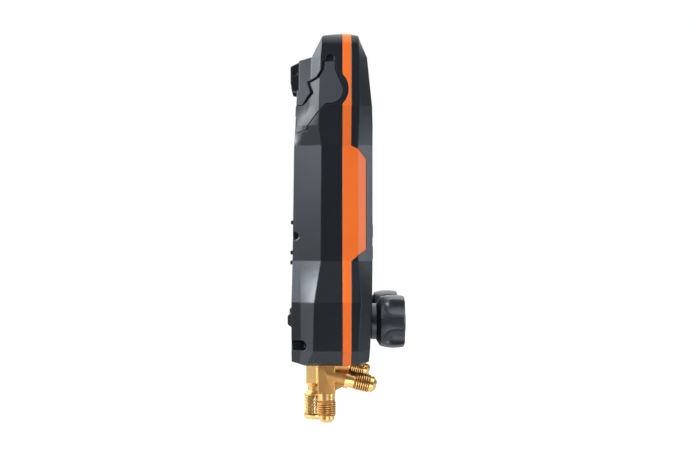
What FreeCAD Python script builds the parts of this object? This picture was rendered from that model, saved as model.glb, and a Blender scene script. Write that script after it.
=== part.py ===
"""Digital refrigerant manifold gauge: a two-shell hand-held instrument on a brass valve block.

Millimetres. +X to the user's right hand, +Y to the back of the instrument, +Z up.
The model is laid out from the housing's base (z = 0), its middle plane (x = 0) and the front
edge of the coloured band (y = 0). Every piece is then moved so that the origin is the centre
of the hanging hook's eye.
"""
import FreeCAD
import Part
import math
import os

from FreeCAD import Vector

# Housing: overall sizes
HOUSING_HEIGHT = 190.0
WALL = 2.6
BAND_WIDTH = 4.9
BAND_SKIN = 1.3
TOP_CORNER_RADIUS = 8.0

# Housing: cross-sections from the base up. Each row holds the height, then for one side
# (half width, depth): side face front edge and rear edge, rear crease, back face, front face.
STATIONS = [
    # z, side half width, front edge y, rear edge y, crease x, crease y, back x, back y, front x, front y
    (0.0, 53.0, -4.0, 25.2, 48.0, 30.0, 46.2, 33.4, 47.0, -7.1),
    (1.9, 55.5, -4.6, 24.6, 49.5, 29.6, 47.5, 34.0, 49.0, -10.4),
    (8.4, 60.5, -3.9, 21.7, 52.5, 28.6, 50.3, 34.1, 52.0, -10.9),
    (36.1, 60.5, -5.6, 21.2, 52.5, 28.8, 50.3, 34.1, 52.0, -12.1),
    (59.7, 54.0, -4.1, 17.3, 47.5, 28.9, 44.9, 33.5, 47.0, -12.5),
    (125.8, 54.0, -3.9, 17.0, 47.5, 28.6, 45.2, 32.6, 47.0, -12.5),
    (137.0, 56.6, -4.4, 18.5, 51.0, 27.8, 43.0, 31.9, 49.0, -12.5),
    (148.0, 59.0, -4.9, 18.4, 50.5, 23.4, 47.5, 31.3, 51.0, -12.1),
    (176.3, 56.2, -4.5, 17.5, 48.8, 22.6, 46.4, 30.2, 48.5, -9.3),
    (190.0, 54.8, -3.8, 16.2, 47.8, 20.5, 45.6, 29.5, 47.5, -4.6),
]

# Housing: roof and rear steps seen from the side, as (y, z) above the hook's lugs
ROOF_PEAK_Y = 4.2
ROOF_DROP = 1.8
ROOF_FRONT_Y = -3.8
FOREHEAD_Y = -9.3
FOREHEAD_Z = 176.4
ROOF_REAR_Y = 16.1
SLOPE_REAR_Y = 22.4
SLOPE_REAR_Z = 176.4
HUMP_Y = 29.8
HUMP_TOP_Z = 174.4
HUMP_STEP_Z = 157.6
BACK_STEP_Y = 31.3
BASE_REAR_CHAMFER_Y = 26.9
BASE_REAR_CHAMFER_Z = 2.1

# Wide grip panel of the band on each side, as (y, z) corners in front of the band
GRIP_TOP_Z = 125.5
GRIP_BOTTOM_Z = 59.5
GRIP_EDGE_Y = -8.6
GRIP_KNEE_Y = -3.9
GRIP_KNEE_DROP = 1.9
GRIP_TOP_DROP = 7.5
GRIP_BOTTOM_RISE = 6.8
GRIP_BOTTOM_KNEE = 3.4

# Probe socket and its rubber cover on each side
SOCKET_Y = 12.4
SOCKET_Z = 157.0
SOCKET_BORE_RADIUS = 4.75
SOCKET_DEPTH = 9.0
SOCKET_WALL = 1.6
SOCKET_FLANGE = 1.5
SOCKET_SETBACK = 2.2
SOCKET_FIT = 0.05
SOCKET_SEAT_WALL = 1.6
SOCKET_SEAT_LENGTH = 6.0
BOSS_Y = 13.4
BOSS_Z = 157.4
BOSS_RADIUS = 12.0
COVER_THICKNESS = 1.2
COVER_PROUD = 0.3
COVER_FLOOR_GAP = 0.3
COVER_EDGE_GAP = 0.4
COVER_REAR_ROOM = 1.2
COVER_HINGE_Y = 28.5
COVER_HINGE_GAP = 0.7
STRAP_END_X = -45.6
COVER_ROUND_RADIUS = 7.1
COVER_ROUND_Y = 11.8
COVER_ROUND_Z = 156.4
COVER_TAB_REAR = 3.1
COVER_TAB_FRONT = 2.4
COVER_TAB_HEIGHT = 16.5
COVER_TAB_LENGTH = 4.5
COVER_ROOM_RISE = 0.35

# Side outline of the cover's strap, as (y, z): its lower and rear end, then its upper edge
STRAP_EDGE = [(14.4, 149.4), (20.4, 142.9), (25.0, 136.7), (25.7, 134.6), (34.0, 132.6),
              (34.0, 148.4), (27.5, 148.4)]
COVER_REAR_EDGE = [(24.4, 151.1), (22.6, 153.9), (21.3, 155.4), (23.1, 161.5), (18.3, 163.6),
                   (16.8, 165.8), (15.3, 168.4)]
PRY_HOLE_RADIUS = 2.4
PRY_HOLE_Y = 12.1
PRY_HOLE_Z = 175.0
PRY_HOLE_DEPTH = 1.9

# Hanging hook, folded down between two lugs on the back
HOOK_PIN_Y = 32.3
HOOK_PIN_Z = 171.0
HOOK_PIN_RADIUS = 1.25
HOOK_PIN_CLEARANCE = 0.05
HOOK_KNUCKLE_RADIUS = 2.7
HOOK_HALF_WIDTH = 11.0
HOOK_INNER_Y = 27.6
HOOK_THICKNESS = 3.4
HOOK_EYE_RADIUS = 7.5
HOOK_EYE_DROP = 35.0
HOOK_TIP_RADIUS = 11.0
HOOK_MOUTH_HEIGHT = 8.5
HOOK_SIDE_GAP = 0.5
HOOK_CHANNEL_FLOOR_Y = 26.6
LUG_THICKNESS = 3.6
LUG_REAR_Y = 35.1
LUG_TOP_Z = 177.6
LUG_BOTTOM_Z = 159.8

# Battery compartment and door
BATTERY_RADIUS = 7.15
BATTERY_LENGTH = 50.5
BATTERY_GAP = 0.3
BATTERY_COUNT = 4
BATTERY_CENTRE_Y = 21.6
BATTERY_BASE_Z = 60.5
CONTACT_THICKNESS = 0.5
CONTACT_HALF_WIDTH = 4.5
CONTACT_STANDOFF = 0.9
BAY_CLEARANCE = 0.6
BAY_WALL = 1.5
DOOR_HALF_WIDTH = 33.0
DOOR_BOTTOM_Z = 53.5
DOOR_TOP_Z = 118.0
DOOR_THICKNESS = 2.2
DOOR_GAP = 0.35
DOOR_LEDGE_Y = 28.2
DOOR_FLOOR_GAP = 0.5
DOOR_TAB_HALF_WIDTH = 4.0
DOOR_TAB_X = 20.0
DOOR_TAB_LENGTH = 2.6
DOOR_TAB_THICKNESS = 1.2
RIDGE_HALF_WIDTH = 16.0
RIDGE_HEIGHT = 1.7
RIDGE_WIDTH = 3.0
RIDGE_HEIGHTS_Z = [58.0, 64.0, 82.0]

# Rear screws and feet
SCREW_RECESS_RADIUS = 2.9
SCREW_HEAD_RADIUS = 2.7
SCREW_HEAD_HEIGHT = 2.0
SCREW_RADIUS = 1.4
SCREW_HOLE_CLEARANCE = 0.1
SCREW_BOSS_RADIUS = 4.1
SCREW_SPOTS = [(44.0, 74.0, 25.0), (38.0, 152.0, 24.6)]
BLOCK_SCREW_X = 51.0
BLOCK_SCREW_Z = 11.5
BLOCK_SCREW_SEAT_Y = 24.9
BLOCK_SCREW_LENGTH = 7.0
BLOCK_RECESS_X = (47.2, 53.2)
FOOT_X = 36.0
FOOT_Z = 25.2
FOOT_HEIGHT = 2.3
FOOT_HALF_HEIGHT = 4.1
FOOT_TOP_HALF_HEIGHT = 2.4
FOOT_HALF_WIDTH = 5.0

# Front: window, display, keys
FRONT_Y = -12.5
WINDOW_HALF_WIDTH = 41.0
WINDOW_BOTTOM_Z = 88.0
WINDOW_TOP_Z = 136.0
WINDOW_THICKNESS = 1.5
WINDOW_LEDGE = 2.5
WINDOW_GAP = 0.15
GASKET_THICKNESS = 0.8
GASKET_WIDTH = 2.0
PANEL_HALF_WIDTH = 37.0
PANEL_THICKNESS = 3.0
BOARD_HALF_WIDTH = 43.0
BOARD_THICKNESS = 1.6
BOARD_BOTTOM_Z = 47.0
BOARD_TOP_Z = 148.0
MAT_THICKNESS = 1.2
MAT_MARGIN = 3.0
KEY_COLUMNS = 3
KEY_ROWS = 2
KEY_PITCH_X = 24.0
KEY_PITCH_Z = 13.0
KEY_WIDTH = 17.0
KEY_HEIGHT = 8.0
KEY_CORNER = 2.4
KEY_PROUD = 0.9
KEY_TRAVEL = 0.8
KEY_FLANGE = 0.9
KEY_FLANGE_THICKNESS = 0.7
KEY_CLEARANCE = 0.3
KEY_WALL_GAP = 0.2
SCREW_TIP_DEPTH = 4.0
PILOT_END_DEPTH = 2.0
FRAME_GAP = 0.3
KEYPAD_CENTRE_Z = 70.5

# Brass valve block
BLOCK_HALF_WIDTH = 54.0
BLOCK_FRONT_Y = 7.0
BLOCK_REAR_Y = 23.0
BLOCK_BOTTOM_Z = 10.0
BLOCK_TOP_Z = 36.0
DECK_HALF_WIDTH = 49.6
DECK_FRONT_Y = 8.3
DECK_REAR_Y = 22.6
DECK_PAD_HALF_WIDTH = 13.0
DECK_PAD_REAR_Y = 27.0
DECK_CORNER = 4.0
DECK_CLEARANCE = 0.4
DECK_BOTTOM_Z = 0.6
COLUMN_X = 44.0
COLUMN_Y = 13.9
COLUMN_WIDTH = 10.2
COLUMN_EDGE_RADIUS = 1.4
COLUMN_BOTTOM_Z = -16.6
FLANGE_HEIGHT = 0.9
BRANCH_ANGLE = 13.4
BRANCH_START_Z = -5.3
BRANCH_RADIUS = 5.3
BRANCH_COLLAR_START = 11.0
BRANCH_COLLAR_END = 13.4
BRANCH_COLLAR_RADIUS = 5.9
BRANCH_BOSS_RADIUS = 4.8
BRANCH_BOSS_FRONT_Y = 1.3
BRANCH_BOSS_AXIS_Z = 0.2
BRANCH_BOSS_TOP_Z = -0.5
GUSSET_HALF_WIDTH = 3.2
GUSSET_REACH = 4.5
GUSSET_HEIGHTS = (1.5, 4.2, 8.0)
MIDDLE_Y = 19.8
MIDDLE_FLATS = 12.0
MIDDLE_BOTTOM_Z = -15.0
MIDDLE_CHAMFER = 2.2
MIDDLE_NECK_END_Z = -20.5
PORT_BORE_RADIUS = 2.4
PORT_BORE_DEPTH = 22.0

# Male flare nipple for a 7/16 inch 20-thread union
THREAD_RADIUS = 5.556
THREAD_LENGTH = 8.3
NECK_RADIUS = 4.9
NECK_LENGTH = 3.4
NOSE_RADIUS = 4.65
NOSE_LENGTH = 2.3
NOSE_TIP_RADIUS = 2.75

# Service cap on the middle port
CAP_RADIUS = 7.5
CAP_TOP_Z = -20.8
CAP_LENGTH = 16.4
CAP_THREAD_CLEARANCE = 0.08
CAP_FLOOR = 2.0
CAP_EDGE_RADIUS = 1.3
SEAL_THICKNESS = 1.3
SEAL_GAP = 0.1

# Hand valves
VALVE_X = 34.0
VALVE_Z = 24.1
STEM_RADIUS = 4.0
STEM_CLEARANCE = 0.08
STEM_REAR_Y = 17.9
STEM_SPIGOT_RADIUS = 3.0
STEM_SPIGOT_LENGTH = 13.0
WASHER_THICKNESS = 1.4
WASHER_GAP = 0.1
WASHER_RADIUS = 3.9
NUT_FLATS = 16.0
NUT_FRONT_Y = -2.0
STEM_HOLE_RADIUS = 5.2
KNOB_BASE_Y = -12.2
KNOB_LENGTH = 19.4
KNOB_RADIUS = 15.5
KNOB_RIM_RADIUS = 14.3
KNOB_FRONT_RADIUS = 15.1
KNOB_BELLY = 12.9
KNOB_NECK_RADIUS = 10.5
KNOB_NECK_LENGTH = 2.9
KNOB_SKIRT_LENGTH = 5.2
KNOB_EDGE = 1.5
KNOB_LOBES = 5
FLUTE_RADIUS = 7.7
FLUTE_OFFSET = 19.3
FLUTE_START = 13.2
KNOB_CAP_RADIUS = 5.0
KNOB_CAP_HEIGHT = 1.0
KNOB_BORE_CLEARANCE = 0.04

# Sight glass between the valves
SIGHT_RADIUS = 8.0
SIGHT_RING_WALL = 1.8
SIGHT_FRONT_Y = -11.6
SIGHT_LENS_THICKNESS = 4.0
SIGHT_LENS_SETBACK = 1.2
SIGHT_CLEARANCE = 0.4
SIGHT_SEAL_THICKNESS = 1.0
SIGHT_LIP = 0.9
SIGHT_SEAT_DEPTH = 6.0

# Pressure sensors on top of the block
SENSOR_X = 34.0
SENSOR_Y = 15.0
SENSOR_HEX_FLATS = 14.0
SENSOR_HEX_HEIGHT = 5.0
SENSOR_CAN_RADIUS = 6.2
SENSOR_CAN_HEIGHT = 9.0
SENSOR_PIN_RADIUS = 2.0
SENSOR_PIN_HEIGHT = 3.0

# The frame's origin: the centre of the hook's eye
ORIGIN = Vector(0, HOOK_INNER_Y + HOOK_THICKNESS / 2, HOOK_PIN_Z - HOOK_EYE_DROP)

X_AXIS = Vector(1, 0, 0)
Y_AXIS = Vector(0, 1, 0)
Z_AXIS = Vector(0, 0, 1)
FAR = 200.0


def box(x_range, y_range, z_range):
    """Box between two limits on each axis."""
    size = [high - low for low, high in (x_range, y_range, z_range)]
    corner = Vector(x_range[0], y_range[0], z_range[0])
    return Part.makeBox(size[0], size[1], size[2], corner)


def cylinder(start, direction, radius, length):
    """Round bar from a point along a direction."""
    return Part.makeCylinder(radius, length, start, direction)


def prism_x(points, x_low, x_high):
    """Outline of (y, z) points, extruded along X."""
    corners = [Vector(x_low, y, z) for y, z in points]
    face = Part.Face(Part.makePolygon(corners + corners[:1]))
    return face.extrude(X_AXIS * (x_high - x_low))


def prism_y(points, y_low, y_high):
    """Outline of (x, z) points, extruded along Y."""
    corners = [Vector(x, y_low, z) for x, z in points]
    face = Part.Face(Part.makePolygon(corners + corners[:1]))
    return face.extrude(Y_AXIS * (y_high - y_low))


def turned(points, position, direction):
    """Turned piece: (radius, distance along the axis) points, closed back to the axis."""
    outline = [Vector(radius, 0, along) for radius, along in points]
    start = Vector(0, 0, points[0][1])
    end = Vector(0, 0, points[-1][1])
    face = Part.Face(Part.makePolygon([start] + outline + [end, start]))
    solid = face.revolve(Vector(0, 0, 0), Z_AXIS, 360)
    return place(solid, position, direction)


def place(shape, position, direction):
    """Move a shape built on +Z so that its axis starts at a point and runs along a direction."""
    moved = shape.copy()
    moved.Placement = FreeCAD.Placement(position, FreeCAD.Rotation(Z_AXIS, direction))
    return moved


def hexagon(flats, position, direction, length):
    """Hexagonal bar from a point along a direction, with a corner on its own X axis."""
    radius = flats / math.sqrt(3)
    angles = [math.radians(60 * index) for index in range(6)]
    corners = [Vector(radius * math.cos(a), radius * math.sin(a), 0) for a in angles]
    face = Part.Face(Part.makePolygon(corners + corners[:1]))
    return place(face.extrude(Z_AXIS * length), position, direction)


def rounded_plate(half_width, z_range, y_range, corner):
    """Rectangular plate facing Y with round corners."""
    plate = box((-half_width, half_width), y_range, z_range)
    return round_edges(plate, Y_AXIS, corner)


def round_edges(shape, direction, radius):
    """Fillet every straight edge that runs along a direction."""
    edges = [edge for edge in shape.Edges if runs_along(edge, direction)]
    return shape.makeFillet(radius, edges)


def runs_along(edge, direction):
    """Whether an edge is a straight line along a direction."""
    if not isinstance(edge.Curve, Part.Line):
        return False
    return abs(abs(edge.Curve.Direction.dot(direction)) - 1) < 1e-6


def mirrored(shape):
    """The same shape on the other side of the middle plane."""
    return shape.mirror(Vector(0, 0, 0), X_AXIS)


def fused(shapes):
    """One shape from several that touch."""
    result = shapes[0]
    if len(shapes) > 1:
        result = result.fuse(shapes[1:])
    return result.removeSplitter()


def offset_outline(points, distance):
    """Move each side of a closed outline inwards, keeping its corners."""
    area = sum(a[0] * b[1] - b[0] * a[1] for a, b in zip(points, points[1:] + points[:1]))
    turn = 1.0 if area > 0 else -1.0
    lines = []
    for start, end in zip(points, points[1:] + points[:1]):
        length = math.hypot(end[0] - start[0], end[1] - start[1])
        normal = (-turn * (end[1] - start[1]) / length, turn * (end[0] - start[0]) / length)
        reach = normal[0] * start[0] + normal[1] * start[1] + distance
        lines.append((normal, reach))
    corners = []
    for index, (normal, reach) in enumerate(lines):
        before, reach_before = lines[index - 1]
        cross = before[0] * normal[1] - before[1] * normal[0]
        first = (reach_before * normal[1] - reach * before[1]) / cross
        second = (reach * before[0] - reach_before * normal[0]) / cross
        corners.append((first, second))
    return corners


def station_at(height):
    """The housing's cross-section values at any height, between the rows given."""
    height = min(max(height, STATIONS[0][0]), STATIONS[-1][0])
    for low, high in zip(STATIONS, STATIONS[1:]):
        if height <= high[0]:
            share = (height - low[0]) / (high[0] - low[0])
            return [a + share * (b - a) for a, b in zip(low, high)]
    return list(STATIONS[-1])


def housing_section(height, inset):
    """Ten-sided cross-section of the housing at a height, moved inwards by an inset."""
    _, side_x, front_edge, rear_edge, crease_x, crease_y, back_x, back_y, front_x, front_y = (
        station_at(height))
    right = [(front_x, front_y), (side_x, front_edge), (side_x, rear_edge),
             (crease_x, crease_y), (back_x, back_y)]
    left = [(-x, y) for x, y in reversed(right)]
    corners = [Vector(x, y, height) for x, y in offset_outline(right + left, inset)]
    return Part.makePolygon(corners + corners[:1])


def side_outline(inset):
    """Outline seen from the side: sloping roof, forehead, hump, back and chamfered base."""
    roof = HOUSING_HEIGHT
    shoulder = roof - ROOF_DROP
    points = [
        (BASE_REAR_CHAMFER_Y, 0.0),
        (BACK_STEP_Y + 3.5, BASE_REAR_CHAMFER_Z),
        (BACK_STEP_Y + 3.5, HUMP_STEP_Z - 20.0),
        (BACK_STEP_Y, HUMP_STEP_Z),
        (HUMP_Y, HUMP_STEP_Z),
        (HUMP_Y, HUMP_TOP_Z),
        (SLOPE_REAR_Y, SLOPE_REAR_Z),
        (ROOF_REAR_Y, shoulder),
        (ROOF_PEAK_Y, roof),
        (ROOF_FRONT_Y, shoulder),
        (FOREHEAD_Y, FOREHEAD_Z),
        (FOREHEAD_Y - 6.0, FOREHEAD_Z - 60.0),
        (FOREHEAD_Y - 6.0, 0.0),
    ]
    return offset_outline(points, inset)


def top_corner(inset):
    """Cutter that rounds the right top corner as seen from the front."""
    radius = TOP_CORNER_RADIUS - inset
    centre_z = HOUSING_HEIGHT - TOP_CORNER_RADIUS
    centre_x = station_at(centre_z)[1] - TOP_CORNER_RADIUS
    square = box((centre_x, centre_x + 2 * TOP_CORNER_RADIUS), (-FAR, FAR),
                 (centre_z, centre_z + 2 * TOP_CORNER_RADIUS))
    return square.cut(cylinder(Vector(centre_x, -FAR, centre_z), Y_AXIS, radius, 2 * FAR))


def housing_body(inset=0.0):
    """The faceted housing as one solid, smaller all round by an inset."""
    low = inset
    high = HOUSING_HEIGHT - inset
    between = [row[0] for row in STATIONS if low + 0.5 < row[0] < high - 0.5]
    sections = [housing_section(height, inset) for height in [low] + between + [high]]
    loft = Part.makeLoft(sections, True, True)
    profile = prism_x(side_outline(inset), -FAR, FAR)
    corner = top_corner(inset)
    return loft.common(profile).cut([corner, mirrored(corner)])


def grip_outline():
    """The coloured grip panel's outline in front of the band, as (y, z) points."""
    return [
        (0.0, GRIP_TOP_Z),
        (GRIP_KNEE_Y, GRIP_TOP_Z - GRIP_KNEE_DROP),
        (GRIP_EDGE_Y, GRIP_TOP_Z - GRIP_TOP_DROP),
        (GRIP_EDGE_Y, GRIP_BOTTOM_Z + GRIP_BOTTOM_RISE),
        (GRIP_KNEE_Y, GRIP_BOTTOM_Z + GRIP_BOTTOM_KNEE),
        (0.0, GRIP_BOTTOM_Z),
    ]


def cover_outline(rear_room=0.0):
    """The rubber cover seen from the side: a pull tab, a round cap and a strap to the back.

    Room behind its rear edge lets it swing out of a recess cut with the same outline.
    """
    tab_rear = COVER_ROUND_Y + COVER_TAB_REAR + rear_room
    tab_front = COVER_ROUND_Y - COVER_TAB_FRONT
    tab_top = COVER_ROUND_Z + COVER_TAB_HEIGHT
    points = [(tab_rear, tab_top), (tab_front, tab_top), (tab_front, tab_top - COVER_TAB_LENGTH)]
    for degrees in range(150, 271, 20):
        angle = math.radians(degrees)
        y = COVER_ROUND_Y + COVER_ROUND_RADIUS * math.cos(angle)
        z = COVER_ROUND_Z + COVER_ROUND_RADIUS * math.sin(angle)
        points.append((y, z))
    rise = COVER_ROOM_RISE * rear_room
    rear_edge = [(y + rear_room, z + rise) for y, z in COVER_REAR_EDGE]
    return points + STRAP_EDGE + rear_edge


def skin(outer, outline, depth, inner_x=0.0):
    """The left part of the housing's surface layer that lies inside a side outline."""
    layer = outer.cut(housing_body(depth))
    return layer.common(prism_x(outline, -FAR, inner_x))


def rear_screw(x, z, seat_y, tip_y):
    """Pan-head screw driven forwards from the back."""
    head = cylinder(Vector(x, seat_y, z), Y_AXIS, SCREW_HEAD_RADIUS, SCREW_HEAD_HEIGHT)
    shank = cylinder(Vector(x, tip_y, z), Y_AXIS, SCREW_RADIUS, seat_y - tip_y)
    return head.fuse(shank).removeSplitter()


def flare_nipple(position, direction):
    """Male flare nipple: relieved neck, threaded length, plain nose and 45 degree seat."""
    thread_end = NECK_LENGTH + THREAD_LENGTH
    nose_end = thread_end + NOSE_LENGTH
    tip_end = nose_end + NOSE_RADIUS - NOSE_TIP_RADIUS
    points = [
        (NECK_RADIUS, 0.0),
        (NECK_RADIUS, NECK_LENGTH - 0.5),
        (THREAD_RADIUS, NECK_LENGTH),
        (THREAD_RADIUS, thread_end),
        (NOSE_RADIUS, thread_end + 0.4),
        (NOSE_RADIUS, nose_end),
        (NOSE_TIP_RADIUS, tip_end),
    ]
    return turned(points, position, direction)


def nipple_length():
    """Overall length of a flare nipple."""
    return NECK_LENGTH + THREAD_LENGTH + NOSE_LENGTH + NOSE_RADIUS - NOSE_TIP_RADIUS


def port_column(side):
    """Square cast column with a flare nipple below and a tilted one to the front."""
    x = side * COLUMN_X
    half = COLUMN_WIDTH / 2
    post = box((x - half, x + half), (COLUMN_Y - half, COLUMN_Y + half),
               (COLUMN_BOTTOM_Z, BLOCK_BOTTOM_Z + 1))
    post = round_edges(post, Z_AXIS, COLUMN_EDGE_RADIUS)
    flange_start = Vector(x, COLUMN_Y, COLUMN_BOTTOM_Z - FLANGE_HEIGHT)
    flange = cylinder(flange_start, Z_AXIS, half - 0.3, FLANGE_HEIGHT + 1)
    nipple = flare_nipple(flange_start, Z_AXIS * -1)

    tilt = math.radians(BRANCH_ANGLE)
    direction = Vector(0, -math.cos(tilt), -math.sin(tilt))
    root = Vector(x, COLUMN_Y, BRANCH_START_Z)
    arm = cylinder(root, direction, BRANCH_RADIUS, BRANCH_COLLAR_START)
    collar_start = root + direction * BRANCH_COLLAR_START
    collar_length = BRANCH_COLLAR_END - BRANCH_COLLAR_START
    collar = cylinder(collar_start, direction, BRANCH_COLLAR_RADIUS, collar_length)
    branch_start = root + direction * BRANCH_COLLAR_END
    branch = flare_nipple(branch_start, direction)
    root_y = COLUMN_Y - half + 0.5
    toe_y = COLUMN_Y - half - GUSSET_REACH
    low, knee, top = [COLUMN_BOTTOM_Z + height for height in GUSSET_HEIGHTS]
    gusset = prism_x([(root_y, low), (toe_y, knee), (toe_y, top), (root_y, top)],
                     x - GUSSET_HALF_WIDTH, x + GUSSET_HALF_WIDTH)
    boss = cylinder(Vector(x, BRANCH_BOSS_FRONT_Y, BRANCH_BOSS_AXIS_Z), Y_AXIS,
                    BRANCH_BOSS_RADIUS, root_y - BRANCH_BOSS_FRONT_Y)
    boss = boss.cut(box((-FAR, FAR), (-FAR, FAR), (BRANCH_BOSS_TOP_Z, FAR)))
    column = fused([post, flange, nipple, arm, collar, branch, gusset, boss])

    down_bore_start = flange_start - Z_AXIS * nipple_length()
    down_bore = cylinder(down_bore_start, Z_AXIS, PORT_BORE_RADIUS, PORT_BORE_DEPTH)
    branch_tip = branch_start + direction * nipple_length()
    branch_bore = cylinder(branch_tip, direction * -1, PORT_BORE_RADIUS, PORT_BORE_DEPTH)
    return column.cut(down_bore).cut(branch_bore)


def middle_column():
    """Hexagonal column of the middle port with its flare nipple."""
    top_z = DECK_BOTTOM_Z + 2
    column = hexagon(MIDDLE_FLATS, Vector(0, MIDDLE_Y, top_z), Z_AXIS * -1,
                     top_z - MIDDLE_BOTTOM_Z)
    corner = MIDDLE_FLATS / math.sqrt(3)
    taper = turned([(corner, 0.0), (NECK_RADIUS, MIDDLE_CHAMFER)],
                   Vector(0, MIDDLE_Y, MIDDLE_BOTTOM_Z), Z_AXIS * -1)
    neck_top = MIDDLE_BOTTOM_Z - MIDDLE_CHAMFER
    neck = cylinder(Vector(0, MIDDLE_Y, neck_top), Z_AXIS * -1, NECK_RADIUS,
                    neck_top - MIDDLE_NECK_END_Z)
    nipple_start = Vector(0, MIDDLE_Y, MIDDLE_NECK_END_Z + NECK_LENGTH)
    nipple = flare_nipple(nipple_start, Z_AXIS * -1)
    bore_start = nipple_start - Z_AXIS * nipple_length()
    bore = cylinder(bore_start, Z_AXIS, PORT_BORE_RADIUS, PORT_BORE_DEPTH)
    return fused([column, taper, neck, nipple]).cut(bore)


def deck_plan(gap, z_range):
    """The block's lower deck, seen from below, grown by a gap all round."""
    wide = box((-DECK_HALF_WIDTH - gap, DECK_HALF_WIDTH + gap),
               (DECK_FRONT_Y - gap, DECK_REAR_Y + gap), z_range)
    pad = box((-DECK_PAD_HALF_WIDTH - gap, DECK_PAD_HALF_WIDTH + gap),
              (DECK_FRONT_Y - gap, DECK_PAD_REAR_Y + gap), z_range)
    return fused([round_edges(wide, Z_AXIS, DECK_CORNER + gap),
                  round_edges(pad, Z_AXIS, DECK_CORNER + gap)])


def valve_block():
    """Brass block with a stepped body, three ports, two valve bores and the sight-glass seat."""
    body = box((-BLOCK_HALF_WIDTH, BLOCK_HALF_WIDTH), (BLOCK_FRONT_Y, BLOCK_REAR_Y),
               (BLOCK_BOTTOM_Z, BLOCK_TOP_Z))
    deck = deck_plan(0.0, (DECK_BOTTOM_Z, BLOCK_BOTTOM_Z + 1))
    block = fused([body, deck, middle_column(), port_column(-1), port_column(1)])
    for side in (-1, 1):
        bore_end = STEM_REAR_Y + WASHER_THICKNESS + 2 * WASHER_GAP
        bore = cylinder(Vector(side * VALVE_X, BLOCK_FRONT_Y, VALVE_Z), Y_AXIS,
                        STEM_RADIUS + STEM_CLEARANCE, bore_end - BLOCK_FRONT_Y)
        screw_hole = cylinder(
            Vector(side * BLOCK_SCREW_X, BLOCK_SCREW_SEAT_Y - BLOCK_SCREW_LENGTH, BLOCK_SCREW_Z),
            Y_AXIS, SCREW_RADIUS, BLOCK_SCREW_LENGTH)
        block = block.cut(bore).cut(screw_hole)
    seat = cylinder(Vector(0, BLOCK_FRONT_Y, VALVE_Z), Y_AXIS,
                    SIGHT_RADIUS - SIGHT_RING_WALL, SIGHT_SEAT_DEPTH)
    return block.cut(seat)


def rear_boss(x, z, outer, front_y):
    """Solid pillar from the rear wall forwards, for a screw."""
    pillar = cylinder(Vector(x, front_y, z), Y_AXIS, SCREW_BOSS_RADIUS, FAR)
    return pillar.common(outer)


def long_bar(side, z, radius, y_low):
    """Bar with round ends across one block screw, running to the back."""
    low, high = BLOCK_RECESS_X
    ends = [cylinder(Vector(side * x, y_low, z), Y_AXIS, radius, FAR) for x in (low, high)]
    middle = box(sorted((side * low, side * high)), (y_low, y_low + FAR),
                 (z - radius, z + radius))
    return fused([middle] + ends)


def screw_cutter(x, z, seat_y, front_y):
    """Counterbore from the back plus the clearance hole in front of it."""
    recess = cylinder(Vector(x, seat_y, z), Y_AXIS, SCREW_RECESS_RADIUS, FAR)
    hole_radius = SCREW_RADIUS + SCREW_HOLE_CLEARANCE
    hole = cylinder(Vector(x, front_y - 1, z), Y_AXIS, hole_radius, seat_y - front_y + 2)
    return recess.fuse(hole)


def battery_rows():
    """X position of each cell."""
    pitch = 2 * BATTERY_RADIUS + BATTERY_GAP
    first = -pitch * (BATTERY_COUNT - 1) / 2
    return [first + pitch * index for index in range(BATTERY_COUNT)]


def bay_ranges():
    """Inside limits of the battery compartment."""
    reach = battery_rows()[-1] + BATTERY_RADIUS + BAY_CLEARANCE
    ends = CONTACT_STANDOFF + CONTACT_THICKNESS
    low = BATTERY_BASE_Z - ends
    high = BATTERY_BASE_Z + BATTERY_LENGTH + ends
    front = BATTERY_CENTRE_Y - BATTERY_RADIUS - BAY_CLEARANCE
    return (-reach, reach), (front, FAR), (low, high)


def back_y_at(height):
    """Depth of the flat back at a height."""
    return station_at(height)[7]


def door_outline(gap):
    """Battery door's outline on the back, as half width and height range."""
    return DOOR_HALF_WIDTH - gap, (DOOR_BOTTOM_Z + gap, DOOR_TOP_Z - gap)


def door_layer(outer, gap, depth):
    """The layer of the back that the door fills."""
    half, heights = door_outline(gap)
    plate = rounded_plate(half, heights, (BATTERY_CENTRE_Y, FAR), 3.0)
    return outer.cut(housing_body(depth)).common(plate)


def battery_door(outer):
    """Lift-up door with finger ridges, two tabs at the bottom and a latch tongue on top."""
    door = door_layer(outer, DOOR_GAP, DOOR_THICKNESS)
    inner_y = back_y_at(DOOR_BOTTOM_Z) - DOOR_THICKNESS
    tab_rear_y = back_y_at(DOOR_BOTTOM_Z) - WALL - DOOR_GAP
    tab_front_y = tab_rear_y - DOOR_TAB_THICKNESS
    pieces = [door]
    for x in (-DOOR_TAB_X, DOOR_TAB_X):
        width = (x - DOOR_TAB_HALF_WIDTH, x + DOOR_TAB_HALF_WIDTH)
        web_z = DOOR_BOTTOM_Z + 2 * DOOR_GAP
        tab = box(width, (tab_front_y, tab_rear_y), (DOOR_BOTTOM_Z - DOOR_TAB_LENGTH, web_z))
        web = box(width, (tab_front_y, inner_y + 0.2), (web_z, web_z + 1.8))
        pieces += [tab, web]
    for z in RIDGE_HEIGHTS_Z:
        foot_y = back_y_at(z) - 0.5
        top_y = back_y_at(z) + RIDGE_HEIGHT
        half = RIDGE_WIDTH / 2
        ridge = prism_x([(foot_y, z - half), (top_y, z - half + 0.6),
                         (top_y, z + half - 0.6), (foot_y, z + half)],
                        -RIDGE_HALF_WIDTH, RIDGE_HALF_WIDTH)
        pieces.append(ridge)
    return fused(pieces)


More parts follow.
